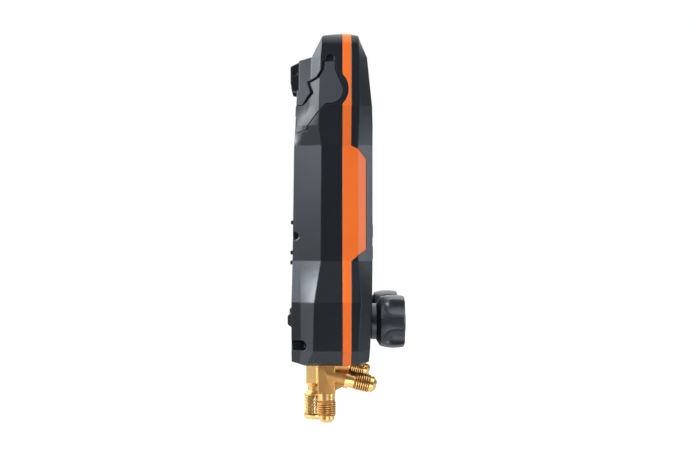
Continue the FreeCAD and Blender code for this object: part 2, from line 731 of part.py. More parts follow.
def battery_bay():
    """Tray walls round the cells and the ledge that the door lies on, in the rear shell."""
    x_range, y_range, z_range = bay_ranges()
    outside = box((x_range[0] - BAY_WALL, x_range[1] + BAY_WALL),
                  (y_range[0] - BAY_WALL, y_range[1]),
                  (z_range[0] - BAY_WALL, z_range[1] + BAY_WALL))
    ledge = box((-DOOR_HALF_WIDTH - WALL, DOOR_HALF_WIDTH + WALL), (DOOR_LEDGE_Y, FAR),
                (DOOR_BOTTOM_Z - WALL, DOOR_TOP_Z + WALL))
    bay = outside.fuse(ledge)
    for x in (-DOOR_TAB_X, DOOR_TAB_X):
        reach = DOOR_TAB_HALF_WIDTH + DOOR_GAP
        slot = box((x - reach, x + reach), (0, back_y_at(DOOR_BOTTOM_Z) - WALL),
                   (DOOR_BOTTOM_Z - 2 * WALL, z_range[0] - BAY_WALL))
        bay = bay.cut(slot)
    return bay.cut(box(x_range, y_range, z_range))


def hook_channel():
    """Recess in the back that the folded hook lies in."""
    half = HOOK_HALF_WIDTH + HOOK_SIDE_GAP
    tip_z = HOOK_PIN_Z - HOOK_EYE_DROP - HOOK_TIP_RADIUS - HOOK_SIDE_GAP
    return box((-half, half), (HOOK_CHANNEL_FLOOR_Y, FAR),
               (tip_z, HOOK_PIN_Z + HOOK_KNUCKLE_RADIUS + HOOK_SIDE_GAP))


def hook_lugs():
    """Two lugs on the back that carry the hook's pin."""
    inner = HOOK_HALF_WIDTH + HOOK_SIDE_GAP
    outline = [(HOOK_CHANNEL_FLOOR_Y, LUG_TOP_Z - 1.0), (HUMP_Y, LUG_TOP_Z),
               (LUG_REAR_Y - 0.4, LUG_TOP_Z - 2.4), (LUG_REAR_Y, LUG_TOP_Z - 3.2),
               (LUG_REAR_Y, LUG_BOTTOM_Z + 5.4), (LUG_REAR_Y - 1.2, LUG_BOTTOM_Z + 0.6),
               (HUMP_Y + 1.7, LUG_BOTTOM_Z), (HUMP_Y + 1.3, HUMP_STEP_Z - 1.0),
               (HOOK_CHANNEL_FLOOR_Y, HUMP_STEP_Z - 1.0)]
    lug = prism_x(outline, inner, inner + LUG_THICKNESS)
    return [lug, mirrored(lug)]


def rear_shell(outer, shell):
    """Rear half of the housing with its bosses, battery tray, hook lugs and side recesses."""
    behind_band = box((-FAR, FAR), (BAND_WIDTH, FAR), (-FAR, FAR + HOUSING_HEIGHT))
    boss_disc = cylinder(Vector(-FAR, BOSS_Y, BOSS_Z), X_AXIS, BOSS_RADIUS, 2 * FAR)
    solid = shell.common(behind_band.fuse(boss_disc))

    inside = [battery_bay().common(outer).cut(door_layer(outer, 0.0, DOOR_THICKNESS + DOOR_FLOOR_GAP))]
    channel_back = HOOK_HALF_WIDTH + HOOK_SIDE_GAP + WALL
    channel_low = HOOK_PIN_Z - HOOK_EYE_DROP - HOOK_TIP_RADIUS - HOOK_SIDE_GAP - WALL
    channel_box = box((-channel_back, channel_back), (HOOK_CHANNEL_FLOOR_Y - 2.0, FAR),
                      (channel_low, HOOK_PIN_Z + HOOK_KNUCKLE_RADIUS + WALL))
    inside.append(channel_box.common(outer))
    for x, z, _ in SCREW_SPOTS:
        for side in (-1, 1):
            inside.append(rear_boss(side * x, z, outer, BAND_WIDTH))
    for side in (-1, 1):
        boss = long_bar(side, BLOCK_SCREW_Z, SCREW_BOSS_RADIUS, BLOCK_REAR_Y)
        inside.append(boss.common(outer))
    seat = socket_seat().common(outer)
    solid = solid.fuse(inside + hook_lugs() + [seat, mirrored(seat)])

    for x, z, seat_y in SCREW_SPOTS:
        for side in (-1, 1):
            solid = solid.cut(screw_cutter(side * x, z, seat_y, BAND_WIDTH))
    for side in (-1, 1):
        solid = solid.cut(screw_cutter(side * BLOCK_SCREW_X, BLOCK_SCREW_Z,
                                       BLOCK_SCREW_SEAT_Y, BLOCK_REAR_Y))
        solid = solid.cut(long_bar(side, BLOCK_SCREW_Z, SCREW_RECESS_RADIUS, BLOCK_SCREW_SEAT_Y))
    solid = solid.cut(hook_channel())
    pin_hole = cylinder(Vector(-FAR, HOOK_PIN_Y, HOOK_PIN_Z), X_AXIS, HOOK_PIN_RADIUS, 2 * FAR)
    solid = solid.cut(pin_hole)
    solid = solid.cut(door_layer(outer, 0.0, DOOR_THICKNESS + DOOR_FLOOR_GAP))
    return solid.cut(box(*bay_ranges())).removeSplitter()


def side_recesses(outer):
    """Recess for the left cover, its pry hole and the socket's seat, as one cutter."""
    outline = offset_outline(cover_outline(COVER_REAR_ROOM), -COVER_EDGE_GAP)
    depth = COVER_THICKNESS + COVER_FLOOR_GAP
    recess = skin(housing_body(-1.0), outline, depth, STRAP_END_X + COVER_EDGE_GAP)
    pry = cylinder(Vector(-FAR, PRY_HOLE_Y, PRY_HOLE_Z), X_AXIS, PRY_HOLE_RADIUS, FAR)
    pry = pry.cut(housing_body(PRY_HOLE_DEPTH))
    hole_radius = SOCKET_BORE_RADIUS + SOCKET_WALL + SOCKET_FIT
    socket_hole = cylinder(Vector(-FAR, SOCKET_Y, SOCKET_Z), X_AXIS, hole_radius, FAR)
    return recess.fuse([pry, socket_hole])


def socket_seat():
    """Solid boss inside the left wall that the probe socket's hole is then cut through."""
    radius = SOCKET_BORE_RADIUS + SOCKET_WALL + SOCKET_FIT + SOCKET_SEAT_WALL
    start = Vector(-station_at(SOCKET_Z)[1] + COVER_THICKNESS, SOCKET_Y, SOCKET_Z)
    return cylinder(start, X_AXIS, radius, SOCKET_SEAT_LENGTH)


def socket_cover(outer_proud):
    """Left rubber cover as two solids: the flap that swings and the strap end that stays."""
    whole = skin(outer_proud, cover_outline(), COVER_THICKNESS, STRAP_END_X)
    flap_side = box((-FAR, 0), (-FAR, COVER_HINGE_Y - COVER_HINGE_GAP), (0, FAR))
    strap_side = box((-FAR, 0), (COVER_HINGE_Y + COVER_HINGE_GAP, FAR), (0, FAR))
    flap = whole.common(flap_side)
    return flap, whole.common(strap_side)


def probe_socket():
    """Left round probe socket: a tube with a closed inner end, seated in the wall."""
    mouth_x = -(station_at(SOCKET_Z)[1] - COVER_THICKNESS - COVER_FLOOR_GAP) + SOCKET_SETBACK
    outer_radius = SOCKET_BORE_RADIUS + SOCKET_WALL
    tube = cylinder(Vector(mouth_x, SOCKET_Y, SOCKET_Z), X_AXIS, outer_radius,
                    SOCKET_DEPTH + SOCKET_FLANGE)
    bore = cylinder(Vector(mouth_x, SOCKET_Y, SOCKET_Z), X_AXIS, SOCKET_BORE_RADIUS,
                    SOCKET_DEPTH)
    return tube.cut(bore)


def front_shell(outer, shell):
    """Front half with window opening, key slots, valve holes and sight-glass hole."""
    in_front = box((-FAR, FAR), (-FAR, 0), (-FAR, FAR + HOUSING_HEIGHT))
    solid = shell.common(in_front)
    posts = []
    for x, z, _ in SCREW_SPOTS:
        for side in (-1, 1):
            post = cylinder(Vector(side * x, -FAR, z), Y_AXIS, SCREW_BOSS_RADIUS,
                            FAR + BAND_WIDTH)
            posts.append(post.common(outer))
    solid = solid.fuse(posts)
    for x, z, _ in SCREW_SPOTS:
        for side in (-1, 1):
            pilot_end = Vector(side * x, FRONT_Y + WALL + PILOT_END_DEPTH, z)
            pilot = cylinder(pilot_end, Y_AXIS, SCREW_RADIUS, FAR)
            solid = solid.cut(pilot)

    grip = skin(outer, grip_outline(), BAND_SKIN)
    solid = solid.cut(grip).cut(mirrored(grip))
    window = box((-WINDOW_HALF_WIDTH, WINDOW_HALF_WIDTH), (-FAR, FRONT_Y + WINDOW_THICKNESS),
                 (WINDOW_BOTTOM_Z, WINDOW_TOP_Z))
    opening = box((-WINDOW_HALF_WIDTH + WINDOW_LEDGE, WINDOW_HALF_WIDTH - WINDOW_LEDGE),
                  (-FAR, FRONT_Y + WALL + 1),
                  (WINDOW_BOTTOM_Z + WINDOW_LEDGE, WINDOW_TOP_Z - WINDOW_LEDGE))
    solid = solid.cut(window).cut(opening)
    for x, z in key_spots():
        half = KEY_WIDTH / 2 + KEY_CLEARANCE
        tall = KEY_HEIGHT / 2 + KEY_CLEARANCE
        slot = rounded_plate(half, (z - tall, z + tall), (-FAR / 2, FRONT_Y + WALL + 0.1),
                             KEY_CORNER + KEY_CLEARANCE)
        solid = solid.cut(slot.translated(Vector(x, 0, 0)))
    for side in (-1, 1):
        hole = cylinder(Vector(side * VALVE_X, -FAR, VALVE_Z), Y_AXIS, STEM_HOLE_RADIUS, FAR)
        solid = solid.cut(hole)
    sight = cylinder(Vector(0, -FAR, VALVE_Z), Y_AXIS, SIGHT_RADIUS + SIGHT_CLEARANCE, FAR)
    return solid.cut(sight).removeSplitter()


def frame_band(outer, shell):
    """Coloured band between the shells, with a grip panel on each side."""
    slab = box((-FAR, FAR), (0, BAND_WIDTH), (-FAR, FAR + HOUSING_HEIGHT))
    boss_disc = cylinder(Vector(-FAR, BOSS_Y, BOSS_Z), X_AXIS, BOSS_RADIUS, 2 * FAR)
    ring = shell.common(slab).cut(boss_disc)
    grip = skin(outer, grip_outline(), BAND_SKIN)
    return fused([ring, grip, mirrored(grip)])


def key_spots():
    """Centre of each key on the front, row by row."""
    spots = []
    for row in range(KEY_ROWS):
        z = KEYPAD_CENTRE_Z + (0.5 * (KEY_ROWS - 1) - row) * KEY_PITCH_Z
        for column in range(KEY_COLUMNS):
            x = (column - 0.5 * (KEY_COLUMNS - 1)) * KEY_PITCH_X
            spots.append((x, z))
    return spots


def key(x, z):
    """Key cap with the flange that keeps it behind the front wall."""
    inner_y = FRONT_Y + WALL + KEY_WALL_GAP
    cap = rounded_plate(KEY_WIDTH / 2, (z - KEY_HEIGHT / 2, z + KEY_HEIGHT / 2),
                        (FRONT_Y - KEY_PROUD, inner_y), KEY_CORNER)
    flange = rounded_plate(KEY_WIDTH / 2 + KEY_FLANGE,
                           (z - KEY_HEIGHT / 2 - KEY_FLANGE, z + KEY_HEIGHT / 2 + KEY_FLANGE),
                           (inner_y, inner_y + KEY_FLANGE_THICKNESS), KEY_CORNER)
    return fused([cap, flange]).translated(Vector(x, 0, 0))


def key_mat_front():
    """Depth of the rubber mat's front face, one key travel behind the flanges."""
    return FRONT_Y + WALL + KEY_WALL_GAP + KEY_FLANGE_THICKNESS + KEY_TRAVEL + 0.1


def board_front():
    """Depth of the circuit board's front face."""
    return key_mat_front() + MAT_THICKNESS


def keypad_mat():
    """Rubber mat behind the keys."""
    spots = key_spots()
    half = spots[-1][0] + KEY_WIDTH / 2 + MAT_MARGIN
    low = spots[-1][1] - KEY_HEIGHT / 2 - MAT_MARGIN
    high = spots[0][1] + KEY_HEIGHT / 2 + MAT_MARGIN
    return rounded_plate(half, (low, high), (key_mat_front(), board_front()), 2.0)


def circuit_board():
    """Main board with notched corners for the screw pillars."""
    board = box((-BOARD_HALF_WIDTH, BOARD_HALF_WIDTH),
                (board_front(), board_front() + BOARD_THICKNESS),
                (BOARD_BOTTOM_Z, BOARD_TOP_Z))
    for x, z, _ in SCREW_SPOTS:
        for side in (-1, 1):
            relief = cylinder(Vector(side * x, -FAR, z), Y_AXIS, SCREW_BOSS_RADIUS + 0.5,
                              2 * FAR)
            board = board.cut(relief)
    return board


def window_frame(inner_margin, y_low, y_high):
    """Rectangular ring behind the window."""
    margin = WINDOW_LEDGE + FRAME_GAP
    half = WINDOW_HALF_WIDTH - margin
    low = WINDOW_BOTTOM_Z + margin
    high = WINDOW_TOP_Z - margin
    outside = box((-half, half), (y_low, y_high), (low, high))
    inside = box((-half + inner_margin, half - inner_margin), (y_low, y_high),
                 (low + inner_margin, high - inner_margin))
    return outside.cut(inside)


def display_parts():
    """Clear window, sealing ring and display module, one behind the other."""
    glass = box((-WINDOW_HALF_WIDTH + WINDOW_GAP, WINDOW_HALF_WIDTH - WINDOW_GAP),
                (FRONT_Y, FRONT_Y + WINDOW_THICKNESS),
                (WINDOW_BOTTOM_Z + WINDOW_GAP, WINDOW_TOP_Z - WINDOW_GAP))
    ring_front = FRONT_Y + WINDOW_THICKNESS
    ring_back = ring_front + GASKET_THICKNESS
    ring = window_frame(GASKET_WIDTH, ring_front, ring_back)
    margin = WINDOW_LEDGE + FRAME_GAP
    module = box((-PANEL_HALF_WIDTH, PANEL_HALF_WIDTH), (ring_back, board_front()),
                 (WINDOW_BOTTOM_Z + margin, WINDOW_TOP_Z - margin))
    return glass, ring, module


def knob():
    """Five-lobed hand knob: neck, flared skirt, barrel body and scooped flutes, along +Z."""
    edge = KNOB_EDGE
    front = KNOB_LENGTH - edge
    corner = edge * math.sqrt(0.5)
    neck_end = Vector(KNOB_NECK_RADIUS, 0, KNOB_NECK_LENGTH)
    rim = Vector(KNOB_RIM_RADIUS, 0, KNOB_SKIRT_LENGTH)
    edge_start = Vector(KNOB_FRONT_RADIUS, 0, front)
    edge_middle = Vector(KNOB_FRONT_RADIUS - edge + corner, 0, front + corner)
    edge_end = Vector(KNOB_FRONT_RADIUS - edge, 0, KNOB_LENGTH)
    base = [Vector(0, 0, 0), Vector(KNOB_NECK_RADIUS, 0, 0), neck_end, rim]
    barrel = Part.Arc(rim, Vector(KNOB_RADIUS, 0, KNOB_BELLY), edge_start).toShape()
    round_edge = Part.Arc(edge_start, edge_middle, edge_end).toShape()
    sides = Part.makePolygon(base).Edges + [barrel, round_edge]
    sides += Part.makePolygon([edge_end, Vector(0, 0, KNOB_LENGTH), base[0]]).Edges
    body = Part.Face(Part.Wire(sides)).revolve(base[0], Z_AXIS, 360)
    for lobe in range(KNOB_LOBES):
        angle = math.radians(180 + (lobe + 0.5) * 360 / KNOB_LOBES)
        start = Vector(math.cos(angle), math.sin(angle), 0) * FLUTE_OFFSET + Z_AXIS * FLUTE_START
        scoop = cylinder(start, Z_AXIS, FLUTE_RADIUS, KNOB_LENGTH)
        body = body.cut(scoop.fuse(Part.makeSphere(FLUTE_RADIUS, start)))
    bore = cylinder(Vector(0, 0, -1), Z_AXIS, STEM_SPIGOT_RADIUS + KNOB_BORE_CLEARANCE,
                    STEM_SPIGOT_LENGTH + 1)
    seat = cylinder(Vector(0, 0, KNOB_LENGTH - KNOB_CAP_HEIGHT), Z_AXIS, KNOB_CAP_RADIUS, 5)
    return body.cut(bore).cut(seat)


def valve_parts(side):
    """Stem, seat washer, packing nut, knob and knob cap of one hand valve."""
    x = side * VALVE_X
    forwards = Y_AXIS * -1
    hand = place(knob(), Vector(x, KNOB_BASE_Y, VALVE_Z), forwards)
    shaft_length = STEM_REAR_Y - KNOB_BASE_Y
    stem = turned([
        (STEM_RADIUS - 0.4, 0.0),
        (STEM_RADIUS, 0.4),
        (STEM_RADIUS, shaft_length),
        (STEM_SPIGOT_RADIUS, shaft_length),
        (STEM_SPIGOT_RADIUS, shaft_length + STEM_SPIGOT_LENGTH),
    ], Vector(x, STEM_REAR_Y, VALVE_Z), forwards)
    washer_y = STEM_REAR_Y + WASHER_GAP
    washer = cylinder(Vector(x, washer_y, VALVE_Z), Y_AXIS, WASHER_RADIUS, WASHER_THICKNESS)
    nut = hexagon(NUT_FLATS, Vector(x, BLOCK_FRONT_Y, VALVE_Z), forwards,
                  BLOCK_FRONT_Y - NUT_FRONT_Y)
    nut_bore = cylinder(Vector(x, BLOCK_FRONT_Y, VALVE_Z), forwards,
                        STEM_RADIUS + STEM_CLEARANCE, FAR)
    cap_start = Vector(x, KNOB_BASE_Y - KNOB_LENGTH + KNOB_CAP_HEIGHT, VALVE_Z)
    cap = turned([(KNOB_CAP_RADIUS - 0.05, 0.0), (KNOB_CAP_RADIUS - 0.05, KNOB_CAP_HEIGHT - 0.3),
                  (KNOB_CAP_RADIUS - 0.6, KNOB_CAP_HEIGHT + 0.1)], cap_start, forwards)
    return {"valve_knob": hand, "valve_stem": stem, "seat_washer": washer,
            "packing_nut": nut.cut(nut_bore), "knob_cap": cap}


def sight_glass():
    """Ring screwed to the block, clear lens and its seal."""
    forwards = Y_AXIS * -1
    start = Vector(0, BLOCK_FRONT_Y, VALVE_Z)
    length = BLOCK_FRONT_Y - SIGHT_FRONT_Y
    inner = SIGHT_RADIUS - SIGHT_RING_WALL
    ring = cylinder(start, forwards, SIGHT_RADIUS, length)
    ring = ring.cut(cylinder(start, forwards, inner - SIGHT_LIP, length))
    pocket_depth = SIGHT_LENS_THICKNESS + SIGHT_SEAL_THICKNESS + SIGHT_LENS_SETBACK
    pocket_y = SIGHT_FRONT_Y + pocket_depth
    ring = ring.cut(cylinder(Vector(0, pocket_y, VALVE_Z), forwards, inner, pocket_depth))
    seal_y = pocket_y
    seal = cylinder(Vector(0, seal_y, VALVE_Z), forwards, inner - 0.05, SIGHT_SEAL_THICKNESS)
    seal = seal.cut(cylinder(Vector(0, seal_y, VALVE_Z), forwards, inner - SIGHT_LIP,
                             SIGHT_SEAL_THICKNESS))
    lens_y = seal_y - SIGHT_SEAL_THICKNESS
    lens = cylinder(Vector(0, lens_y, VALVE_Z), forwards, inner - 0.05, SIGHT_LENS_THICKNESS)
    return ring, lens, seal


def service_cap():
    """Knurled cap and its seal on the middle port; the knurl's fine pattern is left plain."""
    downwards = Z_AXIS * -1
    top = Vector(0, MIDDLE_Y, CAP_TOP_Z)
    edge = CAP_EDGE_RADIUS
    body = turned([
        (CAP_RADIUS - 0.8, 0.0),
        (CAP_RADIUS, 0.8),
        (CAP_RADIUS, CAP_LENGTH - edge),
        (CAP_RADIUS - 0.35 * edge, CAP_LENGTH - 0.35 * edge),
        (CAP_RADIUS - edge, CAP_LENGTH),
    ], top, downwards)
    bore_length = CAP_LENGTH - CAP_FLOOR
    bore = cylinder(top, downwards, THREAD_RADIUS + CAP_THREAD_CLEARANCE, bore_length)
    seal_end = CAP_TOP_Z - bore_length
    seal = cylinder(Vector(0, MIDDLE_Y, seal_end + SEAL_GAP), Z_AXIS,
                    THREAD_RADIUS - 0.1, SEAL_THICKNESS)
    return body.cut(bore), seal


def pressure_sensor(side):
    """Sensor screwed into the top of the block: hexagon, can and plug."""
    start = Vector(side * SENSOR_X, SENSOR_Y, BLOCK_TOP_Z)
    nut = hexagon(SENSOR_HEX_FLATS, start, Z_AXIS, SENSOR_HEX_HEIGHT)
    can_end = SENSOR_HEX_HEIGHT + SENSOR_CAN_HEIGHT
    can = turned([(SENSOR_CAN_RADIUS, SENSOR_HEX_HEIGHT), (SENSOR_CAN_RADIUS, can_end - 0.8),
                  (SENSOR_CAN_RADIUS - 0.8, can_end), (SENSOR_PIN_RADIUS, can_end),
                  (SENSOR_PIN_RADIUS, can_end + SENSOR_PIN_HEIGHT)], start, Z_AXIS)
    return fused([nut, can])


def hanger_hook():
    """Flat hook with a round eye, a side mouth and a knuckle round the pin."""
    eye_z = HOOK_PIN_Z - HOOK_EYE_DROP
    y_range = (HOOK_INNER_Y, HOOK_INNER_Y + HOOK_THICKNESS)
    arm = box((-HOOK_HALF_WIDTH, HOOK_HALF_WIDTH), y_range, (eye_z, HOOK_PIN_Z - 1.0))
    tip = cylinder(Vector(0, y_range[0], eye_z), Y_AXIS, HOOK_TIP_RADIUS, HOOK_THICKNESS)
    web = box((-HOOK_HALF_WIDTH, HOOK_HALF_WIDTH), (y_range[0], HOOK_PIN_Y),
              (HOOK_PIN_Z - 6.0, HOOK_PIN_Z - 1.0))
    knuckle = cylinder(Vector(-HOOK_HALF_WIDTH, HOOK_PIN_Y, HOOK_PIN_Z), X_AXIS,
                       HOOK_KNUCKLE_RADIUS, 2 * HOOK_HALF_WIDTH)
    hook = fused([arm, tip, web, knuckle])
    eye = cylinder(Vector(0, 0, eye_z), Y_AXIS, HOOK_EYE_RADIUS, FAR)
    mouth = box((-FAR, 0), (0, FAR), (eye_z, eye_z + HOOK_MOUTH_HEIGHT))
    bore = cylinder(Vector(-FAR, HOOK_PIN_Y, HOOK_PIN_Z), X_AXIS,
                    HOOK_PIN_RADIUS + HOOK_PIN_CLEARANCE, 2 * FAR)
    return hook.cut(eye).cut(mouth).cut(bore)


def hook_pin():
    """Steel pin through both lugs and the hook's knuckle."""
    reach = HOOK_HALF_WIDTH + HOOK_SIDE_GAP + LUG_THICKNESS
    return cylinder(Vector(-reach, HOOK_PIN_Y, HOOK_PIN_Z), X_AXIS, HOOK_PIN_RADIUS, 2 * reach)


def batteries():
    """Round cells, each with its raised positive end, alternating up and down."""
    cells = []
    for index, x in enumerate(battery_rows()):
        cell = turned([(BATTERY_RADIUS - 0.3, 0.0), (BATTERY_RADIUS, 0.4),
                       (BATTERY_RADIUS, BATTERY_LENGTH - 1.9),
                       (BATTERY_RADIUS - 0.5, BATTERY_LENGTH - 1.4),
                       (2.7, BATTERY_LENGTH - 1.4), (2.7, BATTERY_LENGTH)],
                      Vector(0, 0, 0), Z_AXIS)
        if index % 2:
            position = Vector(x, BATTERY_CENTRE_Y, BATTERY_BASE_Z + BATTERY_LENGTH)
            cells.append(place(cell, position, Z_AXIS * -1))
        else:
            cells.append(place(cell, Vector(x, BATTERY_CENTRE_Y, BATTERY_BASE_Z), Z_AXIS))
    return cells


def battery_contacts():
    """Bent spring strips at both ends of each cell, as separate solids."""
    strips = []
    _, _, (low, high) = bay_ranges()
    half = CONTACT_HALF_WIDTH
    for x in battery_rows():
        for wall_z, cell_z in ((low, BATTERY_BASE_Z), (high, BATTERY_BASE_Z + BATTERY_LENGTH)):
            inwards = 1 if cell_z > wall_z else -1
            root = wall_z
            crest = cell_z - inwards * 0.1
            back = root + inwards * CONTACT_THICKNESS
            y = BATTERY_CENTRE_Y
            outline = [(y - half, root), (y + half, root), (y + half, back),
                       (y + 1.4, back), (y + 0.8, crest), (y - 0.8, crest),
                       (y - 1.4, back), (y - half, back)]
            strips.append(prism_x(outline, x - half, x + half))
    return Part.makeCompound(strips)


def foot(side):
    """Rubber foot with a spigot, low on the back."""
    back = back_y_at(FOOT_Z)
    x = side * FOOT_X
    pad = prism_x([(back, FOOT_Z - FOOT_HALF_HEIGHT),
                   (back + FOOT_HEIGHT, FOOT_Z - FOOT_TOP_HALF_HEIGHT),
                   (back + FOOT_HEIGHT, FOOT_Z + FOOT_TOP_HALF_HEIGHT),
                   (back, FOOT_Z + FOOT_HALF_HEIGHT)],
                  x - FOOT_HALF_WIDTH, x + FOOT_HALF_WIDTH)
    return pad


def build():
    """Every node of the gauge, by name."""
    outer = housing_body()
    shell = outer.cut(housing_body(WALL))
    shell = shell.cut(deck_plan(DECK_CLEARANCE, (-WALL, 2 * WALL)))
    nodes = {}

    recess = side_recesses(outer)
    rear = rear_shell(outer, shell).cut(recess).cut(mirrored(recess))
    nodes["rear_shell"] = rear
    nodes["front_shell"] = front_shell(outer, shell)
    nodes["frame_band"] = frame_band(outer, shell)

    flap, strap = socket_cover(housing_body(-COVER_PROUD))
    socket = probe_socket()
    nodes["socket_cover_left"] = flap
    nodes["socket_cover_right"] = mirrored(flap)
    nodes["cover_strap_left"] = strap
    nodes["cover_strap_right"] = mirrored(strap)
    nodes["probe_socket_left"] = socket
    nodes["probe_socket_right"] = mirrored(socket)

    glass, ring, module = display_parts()
    nodes["display_window"] = glass
    nodes["display_gasket"] = ring
    nodes["display_module"] = module
    nodes["keypad_mat"] = keypad_mat()
    nodes["circuit_board"] = circuit_board()
    for number, (x, z) in enumerate(key_spots(), start=1):
        nodes[f"key_{number}"] = key(x, z)

    nodes["battery_door"] = battery_door(outer)
    for number, cell in enumerate(batteries(), start=1):
        nodes[f"battery_{number}"] = cell
    nodes["battery_contacts"] = battery_contacts()

    screws = []
    for x, z, seat_y in SCREW_SPOTS:
        for side in (-1, 1):
            screws.append(rear_screw(side * x, z, seat_y, FRONT_Y + WALL + SCREW_TIP_DEPTH))
    nodes["housing_screws"] = Part.makeCompound(screws)
    tip_y = BLOCK_SCREW_SEAT_Y - BLOCK_SCREW_LENGTH
    nodes["block_screws"] = Part.makeCompound([
        rear_screw(side * BLOCK_SCREW_X, BLOCK_SCREW_Z, BLOCK_SCREW_SEAT_Y, tip_y)
        for side in (-1, 1)])
    nodes["rear_feet"] = Part.makeCompound([foot(-1), foot(1)])

    nodes["hanger_hook"] = hanger_hook()
    nodes["hook_pin"] = hook_pin()

    nodes["valve_block"] = valve_block()
    for side, name in ((-1, "low"), (1, "high")):
        for piece, shape in valve_parts(side).items():
            nodes[f"{piece}_{name}"] = shape
        nodes[f"pressure_sensor_{name}"] = pressure_sensor(side)
    ring, lens, seal = sight_glass()
    nodes["sight_glass_ring"] = ring
    nodes["sight_glass_lens"] = lens
    nodes["sight_glass_seal"] = seal
    cap, cap_seal = service_cap()
    nodes["service_cap"] = cap
    nodes["service_cap_seal"] = cap_seal
    return nodes


def main():
    """Write one STEP file per node, moved to the frame's origin."""
    os.makedirs("parts", exist_ok=True)
    for name, shape in build().items():
        shape.translated(ORIGIN * -1).exportStep(f"parts/{name}.step")
        box_size = shape.BoundBox
        print(name, len(shape.Solids), shape.isValid(), round(shape.Volume, 1),
              [round(v, 1) for v in (box_size.XMin, box_size.XMax, box_size.YMin, box_size.YMax,
                                     box_size.ZMin, box_size.ZMax)])


main()
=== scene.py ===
"""Looks of a hand-held digital refrigerant manifold gauge: finishes, threads, knurl and display."""
import math

import bpy
from mathutils import Matrix, Vector


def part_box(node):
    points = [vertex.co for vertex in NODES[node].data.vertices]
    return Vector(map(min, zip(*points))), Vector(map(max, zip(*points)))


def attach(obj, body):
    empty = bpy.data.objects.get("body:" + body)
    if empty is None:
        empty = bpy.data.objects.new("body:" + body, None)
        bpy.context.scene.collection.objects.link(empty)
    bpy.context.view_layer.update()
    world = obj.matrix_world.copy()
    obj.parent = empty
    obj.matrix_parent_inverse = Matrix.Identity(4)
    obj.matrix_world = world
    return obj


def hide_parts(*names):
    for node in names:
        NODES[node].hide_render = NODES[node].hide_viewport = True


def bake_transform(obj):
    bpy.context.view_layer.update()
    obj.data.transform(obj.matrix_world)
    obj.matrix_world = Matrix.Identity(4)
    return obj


bl_info = {
    "name": "Refrigerant manifold gauge",
    "version": (1, 0, 0),
    "blender": (4, 5, 0),
    "location": "View3D > Sidebar > Gauge",
    "description": "Dresses the packed gauge with its finishes and fine detail",
    "category": "Object",
}

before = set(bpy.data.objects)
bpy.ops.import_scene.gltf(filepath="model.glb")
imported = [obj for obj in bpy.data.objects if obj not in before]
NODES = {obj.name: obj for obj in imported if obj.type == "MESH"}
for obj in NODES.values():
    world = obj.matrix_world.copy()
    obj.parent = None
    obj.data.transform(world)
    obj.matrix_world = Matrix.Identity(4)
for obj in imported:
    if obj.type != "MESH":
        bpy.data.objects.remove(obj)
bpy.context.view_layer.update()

MM = 0.001

# Places of the layout, in its own millimetres: depth and height of the frame's origin, then ports
LAYOUT_DEPTH = 29.3
LAYOUT_HEIGHT = 136.0
PORT_X = 44.0
PORT_DEPTH = 13.9
PORT_START_Z = -17.5
BRANCH_TILT = 13.4
BRANCH_ROOT_Z = -5.3
BRANCH_START = 13.4
MIDDLE_DEPTH = 19.8

# Plain figures of the display: text, height, and place from the display's middle
DISPLAY_FIGURES = (("2.4", 15.0, -17.0, 7.0), ("9.8", 15.0, 17.0, 7.0), ("4.5", 8.0, -17.0, -11.0),
                   ("36.8", 8.0, 17.0, -11.0))

# Generic outline on each key: corners and turn in degrees
KEY_MARKS = {"key_1": (3, 0), "key_2": (24, 0), "key_3": (3, 180), "key_4": (4, 0),
             "key_5": (4, 45), "key_6": (6, 0)}

# Thickness of the figures, then size, line and thickness of the key marks
FIGURE_DEPTH = 0.04 * MM
MARK_RADIUS = 2.6 * MM
MARK_LINE = 0.5 * MM
MARK_DEPTH = 0.12 * MM

# Merging of a copied CAD mesh: corners this close become one, and so do faces this flat, in degrees
WELD_DISTANCE = 0.002 * MM
FLAT_ANGLE = 0.6

# Faces count as a bend's end within this distance, and edges as level or upright within the next
END_REACH = 0.05 * MM
LEVEL_REACH = 0.01 * MM

# Least cosines of a bend's end faces and of the skin on one side of it, and cuts across the bend
END_FACING = 0.9
SKIN_FACING = 0.3
BEND_CUTS = 7

# Half of a thread ridge's width at its foot and at its crest, as shares of the pitch
RIDGE_FOOT = 0.47
RIDGE_SHOULDER = 0.13

# Room cut outside the thread's crest, and how deep and how high a ridge's foot sits at the core
THREAD_ROOM = 0.5 * MM
RIDGE_SINK = 0.12 * MM
RIDGE_LIFT = 0.02 * MM

# Shares of the thread's depth by which its runouts slope, at the neck and at the nose
NECK_RUNOUT = 0.6
NOSE_RUNOUT = 0.2

# Machined faces of a union: how far behind its neck and round its axis; grooves lie past its core
UNION_BACK = -2.5 * MM
UNION_RADIUS = 6.4 * MM
CORE_RADIUS = 4.6 * MM

# Machined faces of the middle hexagon: height in the layout under which they lie, and their reach
HEXAGON_TOP = -0.2 * MM
HEXAGON_RADIUS = 7.2 * MM

# Material slots of the valve block
CAST, TURNED, GROOVE = range(3)

# Service cap: plain rim over the knurl, least plain end under it, and the floor of the bore
CAP_RIM = 2.0 * MM
CAP_END = 2.6 * MM
CAP_FLOOR = 2.0 * MM

# Service cap: rounded lower edge, upper chamfer, step at the knurl and how far its body lies under it
CAP_ROUND = 2.2 * MM
CAP_CHAMFER = 0.7 * MM
KNURL_STEP = 0.1 * MM
KNURL_BACKING = 0.02 * MM

# Service cap: bore past the thread's crest, and the bore's chamfer
BORE_CLEARANCE = 0.08 * MM
BORE_CHAMFER = 0.4 * MM

# Cool tint of what dark plastic reflects, and the brown of the hollows in cast brass
STUDIO_BLUE = (0.80, 0.90, 1.0, 1.0)
BRASS_STAIN = (0.20, 0.095, 0.028)

# Strength of the even light on all but mirrors and panes
EVEN_LIGHT = 0.32

